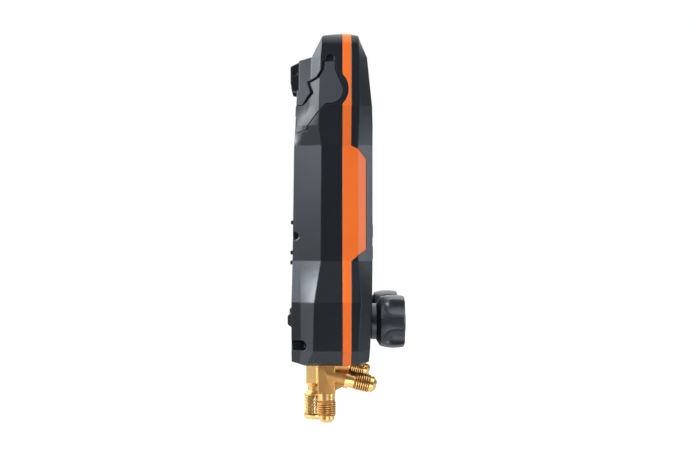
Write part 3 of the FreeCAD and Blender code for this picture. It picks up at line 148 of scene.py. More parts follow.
# Camera: sensor width in millimetres and nearest distance that it sees
SENSOR_WIDTH = 36.0
NEAREST = 10.0 * MM

# Greys between which the floor is mottled
FLOOR_DARK = (0.58, 0.58, 0.58)
FLOOR_LIGHT = (0.62, 0.62, 0.62)

# Soft lamps: name, place from the camera's target, size in metres and power in watts
LAMPS = (("Top lamp", (-0.3, 0.05, 0.8), 0.5, 7.0), ("Rear lamp", (-0.05, 0.85, 0.42), 0.4, 15.0),
         ("Shoulder lamp", (-0.30, 0.29, 0.14), 0.18, 0.75),
         ("Front lamp", (-0.38, -0.86, 0.05), 0.26, 4.5),
         ("Fitting lamp", (-0.20, -0.02, -0.17), 0.12, 0.1))


def millimetres(name, description, default):
    """Length property that a user reads in millimetres."""
    return bpy.props.FloatProperty(name=name, description=description, default=default * MM,
                                   subtype="DISTANCE", unit="LENGTH", precision=5)


def colour(name, description, default):
    """Colour property in linear values."""
    return bpy.props.FloatVectorProperty(name=name, description=description, default=default,
                                         subtype="COLOR", size=3, min=0.0, max=1.0)


def number(name, description, default):
    """Plain number property."""
    return bpy.props.FloatProperty(name=name, description=description, default=default)


class GaugeFinishes(bpy.types.PropertyGroup):
    """Colours of the visible surfaces."""
    housing: colour("Housing", "Charcoal moulded plastic", (0.0036, 0.0047, 0.0065))
    # Hook: a lighter grey than the housing plastic, which is painted light for the hook's lit side
    hook: colour("Hook", "Plastic of the hanging hook, painted lighter as if lit", (0.030, 0.035, 0.043))
    cover: colour("Socket cover", "Grey rubber of the probe covers", (0.020, 0.024, 0.031))
    band: colour("Band", "Orange plastic of the band and grips", (0.60, 0.108, 0.010))
    knob: colour("Knob", "Dark plastic of the hand knobs", (0.009, 0.011, 0.014))
    cast_brass: colour("Cast brass", "Sand-cast faces of the valve block", (0.42, 0.225, 0.072))
    turned_brass: colour("Turned brass", "Machined fittings", (0.84, 0.54, 0.21))
    # Thread grooves: painted shade, a darker brass in the thread roots
    painted_shade_groove_brass: colour("Thread grooves", "Brass between threads with painted shade", (0.34, 0.17, 0.05))
    rubber: colour("Black rubber", "Feet and seals", (0.012, 0.012, 0.013))
    steel: colour("Steel", "Zinc-plated stems, sockets and contacts", (0.55, 0.56, 0.58))
    blackened: colour("Blackened steel", "Screws and the hook's pin", (0.045, 0.045, 0.05))
    display: colour("Display", "Reflective display behind the window", (0.42, 0.47, 0.42))
    board: colour("Circuit board", "Green solder resist", (0.02, 0.12, 0.05))
    cell: colour("Battery wrap", "Printed sleeve of the cells", (0.03, 0.08, 0.17))
    key: colour("Keys", "Grey rubber of the six keys", (0.06, 0.065, 0.07))
    seat: colour("Seat polymer", "White valve seats", (0.7, 0.7, 0.68))
    window: colour("Window", "Smoked pane over the display", (0.02, 0.02, 0.022))
    lens: colour("Lens", "Glass of the sight glass", (0.8, 0.9, 0.92))
    ink: colour("Figures", "Figures of the display", (0.012, 0.014, 0.013))
    mark: colour("Key marks", "Print on the keys", (0.55, 0.56, 0.57))


class GaugeFittings(bpy.types.PropertyGroup):
    """Sizes of the threads and of the knurled cap."""
    pitch: millimetres("Thread pitch", "One turn of the 20-thread union", 1.27)
    crest: millimetres("Thread crest", "Outer radius of the thread", 5.556)
    root: millimetres("Thread root", "Core radius under the thread", 4.82)
    thread_start: millimetres("Thread start", "Along a fitting from its neck", 3.3)
    thread_end: millimetres("Thread end", "Along a fitting from its neck", 11.75)
    knurl_columns: bpy.props.IntProperty(name="Knurl columns", default=28, min=12, max=80,
                                         description="Diamonds round the cap")
    knurl_row: millimetres("Knurl row", "Height of one diamond", 1.9)
    knurl_height: millimetres("Knurl height", "How far each diamond stands out", 0.55)


class GaugeView(bpy.types.PropertyGroup):
    """Camera and studio sizes."""
    distance: millimetres("Camera distance", "From the lens to the middle plane", 827.0)
    lens: number("Lens", "Focal length on a 36 mm sensor, in millimetres", 70.1)
    yaw: number("Yaw", "Degrees that the camera stands behind the side view", 1.6)
    target_y: millimetres("Target depth", "Depth of the picture's centre in the frame", -29.3)
    target_z: millimetres("Target height", "Height of the picture's centre in the frame", -60.9)
    floor_height: millimetres("Floor", "Height of the floor in the frame", -260.0)
    floor_size: millimetres("Floor size", "Side of the square floor", 6000.0)
    floor_front: millimetres("Floor edge", "From the gauge to the floor's edge at the camera", 380.0)
    floor_glow: number("Floor glow", "Strength of the floor's own light for the camera", 1.4)
    floor_share: number("Glow share", "Share of the glow in what the camera sees", 0.7)

    def target(self):
        """Point of the frame in the picture's centre."""
        return Vector((0.0, self.target_y, self.target_z))


class Link:
    """A shader socket that takes part in Python expressions."""

    def __init__(self, finish, socket):
        self.finish = finish
        self.socket = socket

    def math(self, operation, *others):
        """Math node fed by this socket and any others."""
        return self.finish.add("ShaderNodeMath", {"operation": operation}, self, *others)

    def __add__(self, other):
        return self.math("ADD", other)

    __radd__ = __add__

    def __sub__(self, other):
        return self.math("SUBTRACT", other)

    def __rsub__(self, other):
        return self.finish.add("ShaderNodeMath", {"operation": "SUBTRACT"}, other, self)

    def __mul__(self, other):
        return self.math("MULTIPLY", other)

    __rmul__ = __mul__


class Finish:
    """A node material built round one principled shader."""

    def __init__(self, name, base, roughness, metallic=0.0, **constants):
        self.material = bpy.data.materials.new(name)
        self.material.use_nodes = True
        self.tree = self.material.node_tree
        self.shader = self.tree.nodes["Principled BSDF"]
        self.shader.inputs["Base Color"].default_value = (*base, 1.0)
        self.shader.inputs["Roughness"].default_value = roughness
        self.shader.inputs["Metallic"].default_value = metallic
        for socket, value in constants.items():
            self.shader.inputs[socket.replace("_", " ")].default_value = value
        self.base = (*base, 1.0)

    @classmethod
    def of_tree(cls, tree):
        """A bare finish that only adds nodes to a tree."""
        bare = cls.__new__(cls)
        bare.tree = tree
        return bare

    def add(self, kind, settings, *values, output=0, **named):
        """One node: its settings, the values or links of its sockets, and the output wanted."""
        node = self.tree.nodes.new(kind)
        for key, value in settings.items():
            setattr(node, key, value)
        sockets = [socket for socket in node.inputs if socket.enabled]
        for socket, value in zip(sockets, values):
            self.feed(socket, value)
        for key, value in named.items():
            self.feed(next(s for s in sockets if s.name.replace(" ", "_") == key), value)
        outputs = [socket for socket in node.outputs if socket.enabled]
        if isinstance(output, str):
            return Link(self, next(s for s in outputs if s.name == output))
        return Link(self, outputs[output])

    def feed(self, socket, value):
        """Link a socket, or set it to a value; a colour may have three channels."""
        if isinstance(value, Link):
            self.tree.links.new(value.socket, socket)
        elif isinstance(value, tuple) and len(socket.default_value) == 4:
            socket.default_value = (*value[:3], 1.0)
        else:
            socket.default_value = value

    def place(self, scale=(1.0, 1.0, 1.0), turn=(0.0, 0.0, 0.0)):
        """Object coordinates, stretched and turned."""
        spot = self.add("ShaderNodeTexCoord", {}, output="Object")
        return self.add("ShaderNodeMapping", {}, spot, Rotation=turn, Scale=scale)

    def axis(self, spot, name):
        """One axis of a coordinate."""
        return self.add("ShaderNodeSeparateXYZ", {}, spot, output=name)

    def noise(self, scale, detail=3.0, roughness=0.5, where=None):
        """Noise value about 0.5, with a scale per metre."""
        where = where or self.place()
        return self.add("ShaderNodeTexNoise", {}, Vector=where, Scale=scale, Detail=detail,
                        Roughness=roughness)

    def cells(self, scale):
        """Distance to the nearest cell centre, with a scale per metre."""
        return self.add("ShaderNodeTexVoronoi", {}, Vector=self.place(), Scale=scale)

    def between(self, mask, low, high):
        """Values of a mask from low to high stretched to 0 and 1."""
        return self.add("ShaderNodeMapRange", {}, mask, low, high, 0.0, 1.0)

    def rise(self, mask, start, end, low, high):
        """Smooth rise from low to high while a mask goes from start to end."""
        return self.add("ShaderNodeMapRange", {"interpolation_type": "SMOOTHSTEP"},
                        mask, start, end, low, high)

    def mix(self, mask, first, second):
        """Colour mix."""
        return self.add("ShaderNodeMix", {"data_type": "RGBA"}, mask, first, second)

    def tint(self, strength):
        """The base colour made lighter or darker by a strength."""
        return tuple(min(1.0, channel * strength) for channel in self.base[:3])

    def soften(self, radius):
        """Rounded look of moulded or cast edges, under any bump."""
        rounded = self.add("ShaderNodeBevel", {"samples": 5}, Radius=radius)
        self.tree.links.new(rounded.socket, self.shader.inputs["Normal"])

    def bump(self, height, distance, strength=1.0):
        """Bump from a height mask, stacked on any bump already there."""
        normal = self.shader.inputs["Normal"]
        earlier = normal.links[0].from_socket if normal.is_linked else None
        bump = self.add("ShaderNodeBump", {}, Strength=strength, Distance=distance, Height=height)
        if earlier:
            self.tree.links.new(earlier, bump.socket.node.inputs["Normal"])
        self.tree.links.new(bump.socket, normal)

    def drive(self, **links):
        """Link sockets of the principled shader."""
        for key, value in links.items():
            self.feed(self.shader.inputs[key.replace("_", " ")], value)


def moulded_plastic(name, base, roughness, grain=1.0, edge=0.9, **constants):
    """Moulded plastic: fine spark-eroded grain, soft edges and rubbed patches."""
    finish = Finish(name, base, roughness, **constants)
    finish.soften(edge * MM)
    cloud = finish.noise(38.0, detail=4.0)
    speck = finish.noise(2600.0, detail=2.0)
    rubbed = finish.between(finish.noise(16.0, detail=5.0, roughness=0.62), 0.52, 0.72)
    shade = finish.mix(cloud, finish.tint(0.86), finish.tint(1.14))
    shade = finish.mix(rubbed * 0.35, shade, finish.tint(1.3))
    finish.drive(Base_Color=shade)
    finish.drive(Roughness=roughness - 0.05 + cloud * 0.08 + speck * 0.06 - rubbed * 0.05)
    finish.bump(speck, 0.05 * MM * grain, 0.55)
    return finish.material


def soft_rubber(name, base, roughness):
    """Moulded rubber: powdery, slightly mottled, with fine pores."""
    finish = Finish(name, base, roughness, Specular_IOR_Level=0.4, Sheen_Weight=0.12)
    finish.soften(0.5 * MM)
    cloud = finish.noise(55.0, detail=4.0)
    pores = finish.cells(2200.0)
    finish.drive(Base_Color=finish.mix(cloud, finish.tint(0.85), finish.tint(1.18)))
    finish.drive(Roughness=roughness + cloud * 0.1 - 0.05)
    finish.bump(pores, 0.04 * MM, 0.5)
    return finish.material


def rough_brass(name, base):
    """Sand-cast brass: grainy skin with darker, duller hollows."""
    finish = Finish(name, base, 0.42, 1.0)
    finish.soften(0.22 * MM)
    grain = finish.noise(1500.0, detail=4.0, roughness=0.6)
    cloud = finish.noise(160.0)
    stain = finish.between(finish.noise(70.0, detail=5.0, roughness=0.65), 0.45, 0.7)
    shade = finish.mix(cloud, finish.tint(0.8), finish.tint(1.22))
    shade = finish.mix(stain * 0.6, shade, BRASS_STAIN)
    finish.drive(Base_Color=shade)
    finish.drive(Roughness=0.34 + grain * 0.14 + stain * 0.08)
    finish.bump(grain, 0.16 * MM, 0.9)
    finish.bump(cloud, 0.25 * MM, 0.35)
    return finish.material


def painted_shade_groove_brass(name, base):
    """Brass down in the thread grooves, darker and duller: painted shade that makes the grooves look
    deeper.
    """
    finish = Finish(name, base, 0.5, 1.0)
    cloud = finish.noise(400.0)
    finish.drive(Base_Color=finish.mix(cloud, finish.tint(0.7), finish.tint(1.3)))
    finish.drive(Roughness=0.42 + cloud * 0.16)
    return finish.material


def knurled_brass(name, base, columns, rows):
    """Turned brass with painted shade, near black, in the valleys between the diamonds of the knurl.
    """
    finish = Finish(name, base, 0.24, 1.0)
    spot = finish.add("ShaderNodeUVMap", {}, output="UV")
    column = (finish.axis(spot, "X") * float(columns)).math("FRACT")
    row = ((finish.axis(spot, "Y") - 0.5) * (2.0 * rows)).math("FRACT")
    rising = (column - row).math("ABSOLUTE")
    falling = (column + row - 1.0).math("ABSOLUTE")
    # Valley mask: painted shade that darkens the knurl's valleys to a tenth of the base colour
    valley = finish.between(rising.math("MINIMUM", falling), 0.30, 0.10)
    cloud = finish.noise(150.0)
    bright = finish.mix(cloud, finish.tint(0.85), finish.tint(1.12))
    finish.drive(Base_Color=finish.mix(valley, bright, finish.tint(0.1)))
    finish.drive(Roughness=0.2 + valley * 0.3)
    return finish.material


def turned_brass(name, base):
    """Machined brass: bright, with fine tool marks and faint tarnish."""
    finish = Finish(name, base, 0.2, 1.0)
    marks = finish.noise(900.0, detail=2.0, where=finish.place((0.15, 0.15, 3.0)))
    cloud = finish.noise(120.0, detail=4.0)
    finish.drive(Base_Color=finish.mix(cloud, finish.tint(0.82), finish.tint(1.12)))
    finish.drive(Roughness=0.14 + marks * 0.12 + cloud * 0.06)
    finish.bump(marks, 0.03 * MM, 0.5)
    return finish.material


def plated_steel(name, base):
    """Plated steel with light brushing."""
    finish = Finish(name, base, 0.3, 1.0)
    streaks = finish.noise(700.0, where=finish.place((1.0, 0.1, 1.0)))
    cloud = finish.noise(130.0)
    finish.drive(Base_Color=finish.mix(cloud, finish.tint(0.85), finish.tint(1.1)))
    finish.drive(Roughness=0.22 + streaks * 0.2)
    finish.bump(streaks, 0.03 * MM, 0.4)
    return finish.material


def clear_pane(name, tint, alpha):
    """Clear pane: glossy, see-through and slightly smeared."""
    finish = Finish(name, tint, 0.05, Alpha=alpha, Coat_Weight=0.3)
    smear = finish.noise(45.0, detail=4.0)
    finish.drive(Roughness=0.03 + smear * 0.06)
    finish.material.surface_render_method = "BLENDED"
    return finish.material


def printed_board(name, base):
    """Green solder resist with lighter tracks."""
    finish = Finish(name, base, 0.35)
    upright = finish.place(turn=(math.pi / 2, 0.0, 0.0))
    grid = finish.add("ShaderNodeTexBrick", {}, Vector=upright, Scale=260.0, Mortar_Size=0.035,
                      output="Fac")
    blotch = finish.between(finish.noise(240.0, detail=2.0), 0.45, 0.55)
    finish.drive(Base_Color=finish.mix(grid * blotch, finish.base[:3], finish.tint(2.6)))
    finish.bump(grid, 0.03 * MM, 0.4)
    return finish.material


def reflective_display(name, base):
    """Display glass: even grey-green with a faint pixel grid."""
    finish = Finish(name, base, 0.25)
    grid = finish.cells(3000.0)
    cloud = finish.noise(22.0, detail=2.0)
    shade = finish.mix(cloud, finish.tint(0.92), finish.tint(1.06))
    shade = finish.mix(finish.between(grid, 0.2, 0.6) * 0.1, shade, finish.tint(0.7))
    finish.drive(Base_Color=shade)
    return finish.material


def cell_wrap(name, base):
    """Battery sleeve: printed foil with a faint metallic gloss."""
    finish = Finish(name, base, 0.3, 0.35)
    cloud = finish.noise(60.0)
    finish.drive(Base_Color=finish.mix(cloud, finish.tint(0.8), finish.tint(1.3)))
    finish.drive(Roughness=0.22 + cloud * 0.16)
    return finish.material


def paint_node(node, material):
    """Give a carried-over CAD node its finish."""
    slots = NODES[node].data.materials
    slots.clear()
    slots.append(material)


def at_millimetres(x, y, z):
    """Point of the frame from the layout's millimetres: side, depth and height."""
    return Vector((x, y - LAYOUT_DEPTH, z - LAYOUT_HEIGHT)) * MM


def fitting_places():
    """Where each threaded fitting starts and which way it points."""
    tilt = math.radians(BRANCH_TILT)
    branch = Vector((0.0, -math.cos(tilt), -math.sin(tilt)))
    places = []
    for side in (-1, 1):
        root = at_millimetres(side * PORT_X, PORT_DEPTH, BRANCH_ROOT_Z)
        places.append((at_millimetres(side * PORT_X, PORT_DEPTH, PORT_START_Z), Vector((0, 0, -1))))
        places.append((root + branch * BRANCH_START * MM, branch))
    return places


def move_mesh(piece, start, direction):
    """Carry a mesh built along +Z at the origin to a start point and direction."""
    turn = Vector((0.0, 0.0, 1.0)).rotation_difference(direction).to_matrix().to_4x4()
    piece.data.transform(Matrix.Translation(start) @ turn)


def activate(piece):
    """Select one piece alone."""
    bpy.ops.object.select_all(action="DESELECT")
    piece.select_set(True)
    bpy.context.view_layer.objects.active = piece


def add_profile(name, points, closed=True):
    """Outline of (radius, height) points in the XZ plane, as edges of a new piece."""
    bpy.ops.object.select_all(action="DESELECT")
    bpy.ops.mesh.primitive_plane_add(size=MM)
    piece = bpy.context.object
    piece.name = name
    mesh = piece.data
    edges = [(i, i + 1) for i in range(len(points) - 1)]
    if closed:
        edges.append((len(points) - 1, 0))
    mesh.clear_geometry()
    mesh.from_pydata([(radius, 0.0, height) for radius, height in points], edges, [])
    return piece


def lathe(piece, steps, turns=1.0, rise=0.0):
    """Sweep an outline round the Z axis, with a rise per turn for a helix, and close its ends."""
    screw = piece.modifiers.new("Lathe", "SCREW")
    screw.axis = "Z"
    screw.angle = 2 * math.pi * turns
    screw.screw_offset = rise * turns
    screw.steps = int(steps * turns)
    screw.render_steps = screw.steps
    screw.use_merge_vertices = rise == 0.0
    screw.merge_threshold = WELD_DISTANCE / 2
    screw.use_normal_calculate = True
    apply_modifier(piece, screw)
    bpy.ops.object.mode_set(mode="EDIT")
    bpy.ops.mesh.select_all(action="SELECT")
    bpy.ops.mesh.fill_holes(sides=0)
    bpy.ops.mesh.select_all(action="SELECT")
    bpy.ops.mesh.normals_make_consistent(inside=False)
    bpy.ops.object.mode_set(mode="OBJECT")


def apply_modifier(piece, modifier):
    """Apply one modifier of a piece."""
    activate(piece)
    bpy.ops.object.modifier_apply(modifier=modifier.name)


def combine(piece, tool, operation):
    """Cut a tool from a piece or add it, and delete the tool."""
    before = len(piece.data.polygons)
    boolean = piece.modifiers.new("Shape", "BOOLEAN")
    boolean.operation = operation
    boolean.solver = "EXACT"
    boolean.object = tool
    apply_modifier(piece, boolean)
    if len(piece.data.polygons) == before:
        raise RuntimeError(f"{tool.name} didn't change {piece.name}")
    bpy.data.objects.remove(tool, do_unlink=True)


def join(pieces):
    """Join pieces into the first."""
    bpy.ops.object.select_all(action="DESELECT")
    for piece in pieces:
        piece.select_set(True)
    bpy.context.view_layer.objects.active = pieces[0]
    bpy.ops.object.join()
    return pieces[0]


def copy_of_node(node, name):
    """A copy of a CAD node's mesh with its triangles merged into flat faces, for new shading."""
    piece = bpy.data.objects.new(name, NODES[node].data.copy())
    bpy.context.collection.objects.link(piece)
    piece.data.materials.clear()
    activate(piece)
    bpy.ops.mesh.customdata_custom_splitnormals_clear()
    bpy.ops.object.mode_set(mode="EDIT")
    bpy.ops.mesh.select_all(action="SELECT")
    bpy.ops.mesh.remove_doubles(threshold=WELD_DISTANCE)
    bpy.ops.mesh.dissolve_limited(angle_limit=math.radians(FLAT_ANGLE))
    bpy.ops.object.mode_set(mode="OBJECT")
    return piece


def shade(piece, angle):
    """Smooth shading across edges up to an angle in degrees."""
    activate(piece)
    bpy.ops.object.shade_smooth_by_angle(angle=math.radians(angle))


class GaugeOperator:
    """Shared ways of the gauge's operators."""
    bl_options = {"REGISTER"}

    @staticmethod
    def finishes():
        """The colours set in the sidebar."""
        return bpy.context.scene.gauge_finishes


class GAUGE_OT_stage(GaugeOperator, bpy.types.Operator):
    """Set up the pale floor, the soft lamps and the camera of the side view"""
    bl_idname = "gauge.stage"
    bl_label = "Studio"

    def execute(self, context):
        view = context.scene.gauge_view
        context.scene.view_settings.view_transform = "Standard"
        self.make_world(context.scene)
        self.make_floor(view)
        self.make_lamps(view)
        self.make_camera(context.scene, view)
        return {"FINISHED"}

    @staticmethod
    def make_world(scene):
        """White ground for the camera, even soft light, and darker reflections on its side."""
        world = bpy.data.worlds.new("Studio air")
        scene.world = world
        world.use_nodes = True
        air = Finish.of_tree(world.node_tree)
        background = world.node_tree.nodes["Background"]
        background.inputs["Color"].default_value = (1.0, 1.0, 1.0, 1.0)
        spot = air.add("ShaderNodeTexCoord", {}, output="Generated")
        away = air.axis(spot, "X") * 0.8 + air.axis(spot, "Y") * 0.5
        reach = air.rise(away, -0.25, 0.8, low=0.2, high=1.8)
        overhead = air.rise(air.axis(spot, "Z"), 0.4, 1.0, low=0.0, high=2.4)
        seen = air.add("ShaderNodeLightPath", {}, output="Is Camera Ray")
        mirrored = air.add("ShaderNodeLightPath", {}, output="Is Glossy Ray")
        through = air.add("ShaderNodeLightPath", {}, output="Is Transmission Ray")
        shown = mirrored.math("MAXIMUM", through)
        plain = seen.math("MAXIMUM", EVEN_LIGHT)
        level = plain * (1.0 - shown) + (reach + overhead) * shown
        world.node_tree.links.new(level.socket, background.inputs["Strength"])

    @staticmethod
    def make_floor(view):
        """Pale floor well under the hanging gauge, which glows for the camera alone."""
        middle = view.floor_size / 2 - view.floor_front
        bpy.ops.mesh.primitive_plane_add(size=view.floor_size,
                                         location=(middle, 0.0, view.floor_height))
        floor = bpy.context.object
        floor.name = "floor"
        finish = Finish("Pale floor", FLOOR_LIGHT, 0.7)
        grain = finish.noise(40.0)
        finish.drive(Base_Color=finish.mix(grain, FLOOR_DARK, FLOOR_LIGHT))
        glow = finish.add("ShaderNodeEmission", {}, (1.0, 1.0, 1.0), view.floor_glow)
        seen = finish.add("ShaderNodeLightPath", {}, output="Is Camera Ray")
        blend = finish.add("ShaderNodeMixShader", {}, seen * view.floor_share)
        node = blend.socket.node
        finish.tree.links.new(finish.shader.outputs[0], node.inputs[1])
        finish.tree.links.new(glow.socket, node.inputs[2])
        surface = finish.tree.nodes["Material Output"].inputs["Surface"]
        finish.tree.links.new(blend.socket, surface)
        floor.data.materials.append(finish.material)

    @staticmethod
    def make_lamps(view):
        """Square soft lamps that face the camera's target; the top lamp isn't mirrored."""
        for name, place, size, power in LAMPS:
            offset = Vector(place)
            bpy.ops.object.light_add(type="AREA", location=view.target() + offset)
            lamp = bpy.context.object
            lamp.name = name
            lamp.data.shape = "SQUARE"
            lamp.data.size = size
            lamp.data.energy = power
            lamp.rotation_euler = (-offset).to_track_quat("-Z", "Y").to_euler()
            lamp.visible_glossy = name != "Top lamp"

    @staticmethod
    def make_camera(scene, view):
        """Camera on the left side of the gauge, level with its middle."""
        yaw = math.radians(view.yaw)
        forward = Vector((math.cos(yaw), -math.sin(yaw), 0.0))
        bpy.ops.object.camera_add(location=view.target() - forward * view.distance)
        camera = bpy.context.object
        camera.rotation_euler = forward.to_track_quat("-Z", "Y").to_euler()
        camera.data.sensor_width = SENSOR_WIDTH
        camera.data.lens = view.lens
        camera.data.clip_start = NEAREST
        scene.camera = camera


class GAUGE_OT_housing(GaugeOperator, bpy.types.Operator):
    """Finish the shells, the band, the covers and what is on the back"""
    bl_idname = "gauge.housing"
    bl_label = "Housing"

    def execute(self, context):
        tones = self.finishes()
        charcoal = moulded_plastic("Charcoal plastic", tones.housing, 0.35,
                                   Specular_IOR_Level=0.44, Specular_Tint=STUDIO_BLUE)
        orange = moulded_plastic("Orange plastic", tones.band, 0.42, grain=0.8,
                                 Specular_IOR_Level=0.36)
        grey_rubber = soft_rubber("Cover rubber", tones.cover, 0.55)
        black_rubber = soft_rubber("Black rubber", tones.rubber, 0.6)
        # The hook takes a lighter copy of the charcoal plastic, which is painted light on its side
        hook_plastic_painted_lit = moulded_plastic("Hook plastic painted lit", tones.hook, 0.4, edge=0.5)
        for node in ("rear_shell", "front_shell", "battery_door"):
            paint_node(node, charcoal)
        paint_node("hanger_hook", hook_plastic_painted_lit)
        paint_node("frame_band", orange)
        for side in ("left", "right"):
            self.make_cover(side, grey_rubber)
        for node in ("rear_feet", "display_gasket", "keypad_mat", "sight_glass_seal",
                     "service_cap_seal"):
            paint_node(node, black_rubber)
        return {"FINISHED"}

    def make_cover(self, side, rubber):
        """One rubber moulding from the fixed strap over the bend to the flap."""
        flap = copy_of_node(f"socket_cover_{side}", f"rubber_cover_{side}")
        strap = copy_of_node(f"cover_strap_{side}", "strap")
        flap_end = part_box(f"socket_cover_{side}")[1][1]
        strap_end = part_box(f"cover_strap_{side}")[0][1]
        piece = join([flap, strap])
        bpy.ops.object.mode_set(mode="EDIT")
        bpy.ops.mesh.select_mode(type="FACE")
        bpy.ops.mesh.select_all(action="DESELECT")
        bpy.ops.object.mode_set(mode="OBJECT")
        for face in piece.data.polygons:
            facing = face.normal.y if face.center.y < (flap_end + strap_end) / 2 else -face.normal.y
            gap = min(abs(face.center.y - flap_end), abs(face.center.y - strap_end))
            face.select = facing > END_FACING and gap < END_REACH
        if sum(face.select for face in piece.data.polygons) != 2:
            raise RuntimeError(f"the {side} cover's bend has no two ends")
        bpy.ops.object.mode_set(mode="EDIT")
        bpy.ops.mesh.delete(type="ONLY_FACE")
        bpy.ops.object.mode_set(mode="OBJECT")
        for facing in (-1, 1):
            self.bridge_bend(piece, facing)
        bpy.ops.object.mode_set(mode="EDIT")
        bpy.ops.mesh.select_all(action="SELECT")
        bpy.ops.mesh.fill_holes(sides=0)
        bpy.ops.mesh.normals_make_consistent(inside=False)
        bpy.ops.object.mode_set(mode="OBJECT")
        piece.data.materials.append(rubber)
        shade(piece, angle=7.0)
        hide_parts(f"socket_cover_{side}", f"cover_strap_{side}")
        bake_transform(piece)

    @staticmethod
    def bridge_bend(piece, facing):
        """Join flap and strap on the skin that faces one way across the object."""
        owners = {}
        for face in piece.data.polygons:
            for key in face.edge_keys:
                owners.setdefault(key, []).append(face)
        for edge in piece.data.edges:
            faces = owners.get(edge.key, [])
            edge.select = len(faces) == 1 and faces[0].normal.x * facing > SKIN_FACING
        bpy.ops.object.mode_set(mode="EDIT")
        bpy.ops.mesh.select_mode(type="EDGE")
        bpy.ops.mesh.bridge_edge_loops(number_cuts=BEND_CUTS, interpolation="LINEAR")
        bpy.ops.mesh.select_all(action="DESELECT")
        bpy.ops.object.mode_set(mode="OBJECT")


class GAUGE_OT_block(GaugeOperator, bpy.types.Operator):
    """Cut the unions' threads into the brass block and finish its cast and turned faces"""
    bl_idname = "gauge.block"
    bl_label = "Valve block"

    def execute(self, context):
        sizes = context.scene.gauge_fittings
        tones = self.finishes()
        piece = copy_of_node("valve_block", "manifold_block")
        combine(piece, self.thread_rings(sizes), "DIFFERENCE")
        combine(piece, self.thread_ridges(sizes), "UNION")
        piece.data.materials.append(rough_brass("Cast brass", tones.cast_brass))
        piece.data.materials.append(turned_brass("Turned fittings", tones.turned_brass))
        piece.data.materials.append(painted_shade_groove_brass("Thread grooves", tones.painted_shade_groove_brass))
        self.mark_turned_faces(piece, sizes)
        shade(piece, angle=32.0)
        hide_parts("valve_block")
        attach(piece, "housing")
        return {"FINISHED"}

    @staticmethod
    def thread_rings(sizes):
        """Room for the threads: one ring round each union's core."""
        rings = []
        low, high = sizes.thread_start, sizes.thread_end
        for start, direction in fitting_places():
            outer = sizes.crest + THREAD_ROOM
            depth = sizes.crest - sizes.root
            ring = add_profile("thread_ring", [(sizes.root, low), (outer, low - depth * NECK_RUNOUT),
                                               (outer, high + depth * NOSE_RUNOUT),
                                               (sizes.root, high)])
            lathe(ring, steps=64)
            move_mesh(ring, start, direction)
            rings.append(ring)
        return join(rings)

    @staticmethod
    def thread_ridges(sizes):
        """The threads themselves: a ridge wound round each union's core."""
        ridges = []
        root, crest, pitch = sizes.root, sizes.crest, sizes.pitch
        foot, shoulder = pitch * RIDGE_FOOT, pitch * RIDGE_SHOULDER
        middle = (root + crest) / 2
        flank = (foot + shoulder) / 2
        outline = [(root - RIDGE_SINK, -foot), (root + RIDGE_LIFT, -foot), (middle, -flank),
                   (crest, -shoulder), (crest, shoulder), (middle, flank),
                   (root + RIDGE_LIFT, foot), (root - RIDGE_SINK, foot)]
        turns = (sizes.thread_end - sizes.thread_start - 2 * foot) / pitch
        for start, direction in fitting_places():
            ridge = add_profile("thread_ridge", [(radius, along + foot) for radius, along in outline])
            lathe(ridge, steps=40, turns=turns, rise=pitch)
            move_mesh(ridge, start + direction * sizes.thread_start, direction)
            ridges.append(ridge)
        return join(ridges)

    @staticmethod
    def mark_turned_faces(piece, sizes):
        """Give the unions' machined ends, their grooves and the middle hexagon their finishes."""
        places = fitting_places()
        groove_top = (sizes.root + sizes.crest) / 2
        middle = at_millimetres(0.0, MIDDLE_DEPTH, 0.0)
        for face in piece.data.polygons:
            turned = groove = False
            for start, direction in places:
                along = (face.center - start).dot(direction)
                radius = (face.center - start - direction * along).length
                turned = turned or (along > UNION_BACK and radius < UNION_RADIUS)
                threaded = sizes.thread_start < along < sizes.thread_end
                groove = groove or (threaded and CORE_RADIUS < radius < groove_top)
            offset = face.center - middle
            across = math.hypot(offset.x, offset.y)
            turned = turned or (offset.z < HEXAGON_TOP and across < HEXAGON_RADIUS)
            # Groove faces take the darker brass, which is painted shade in the thread roots
            face.material_index = GROOVE if groove else TURNED if turned else CAST


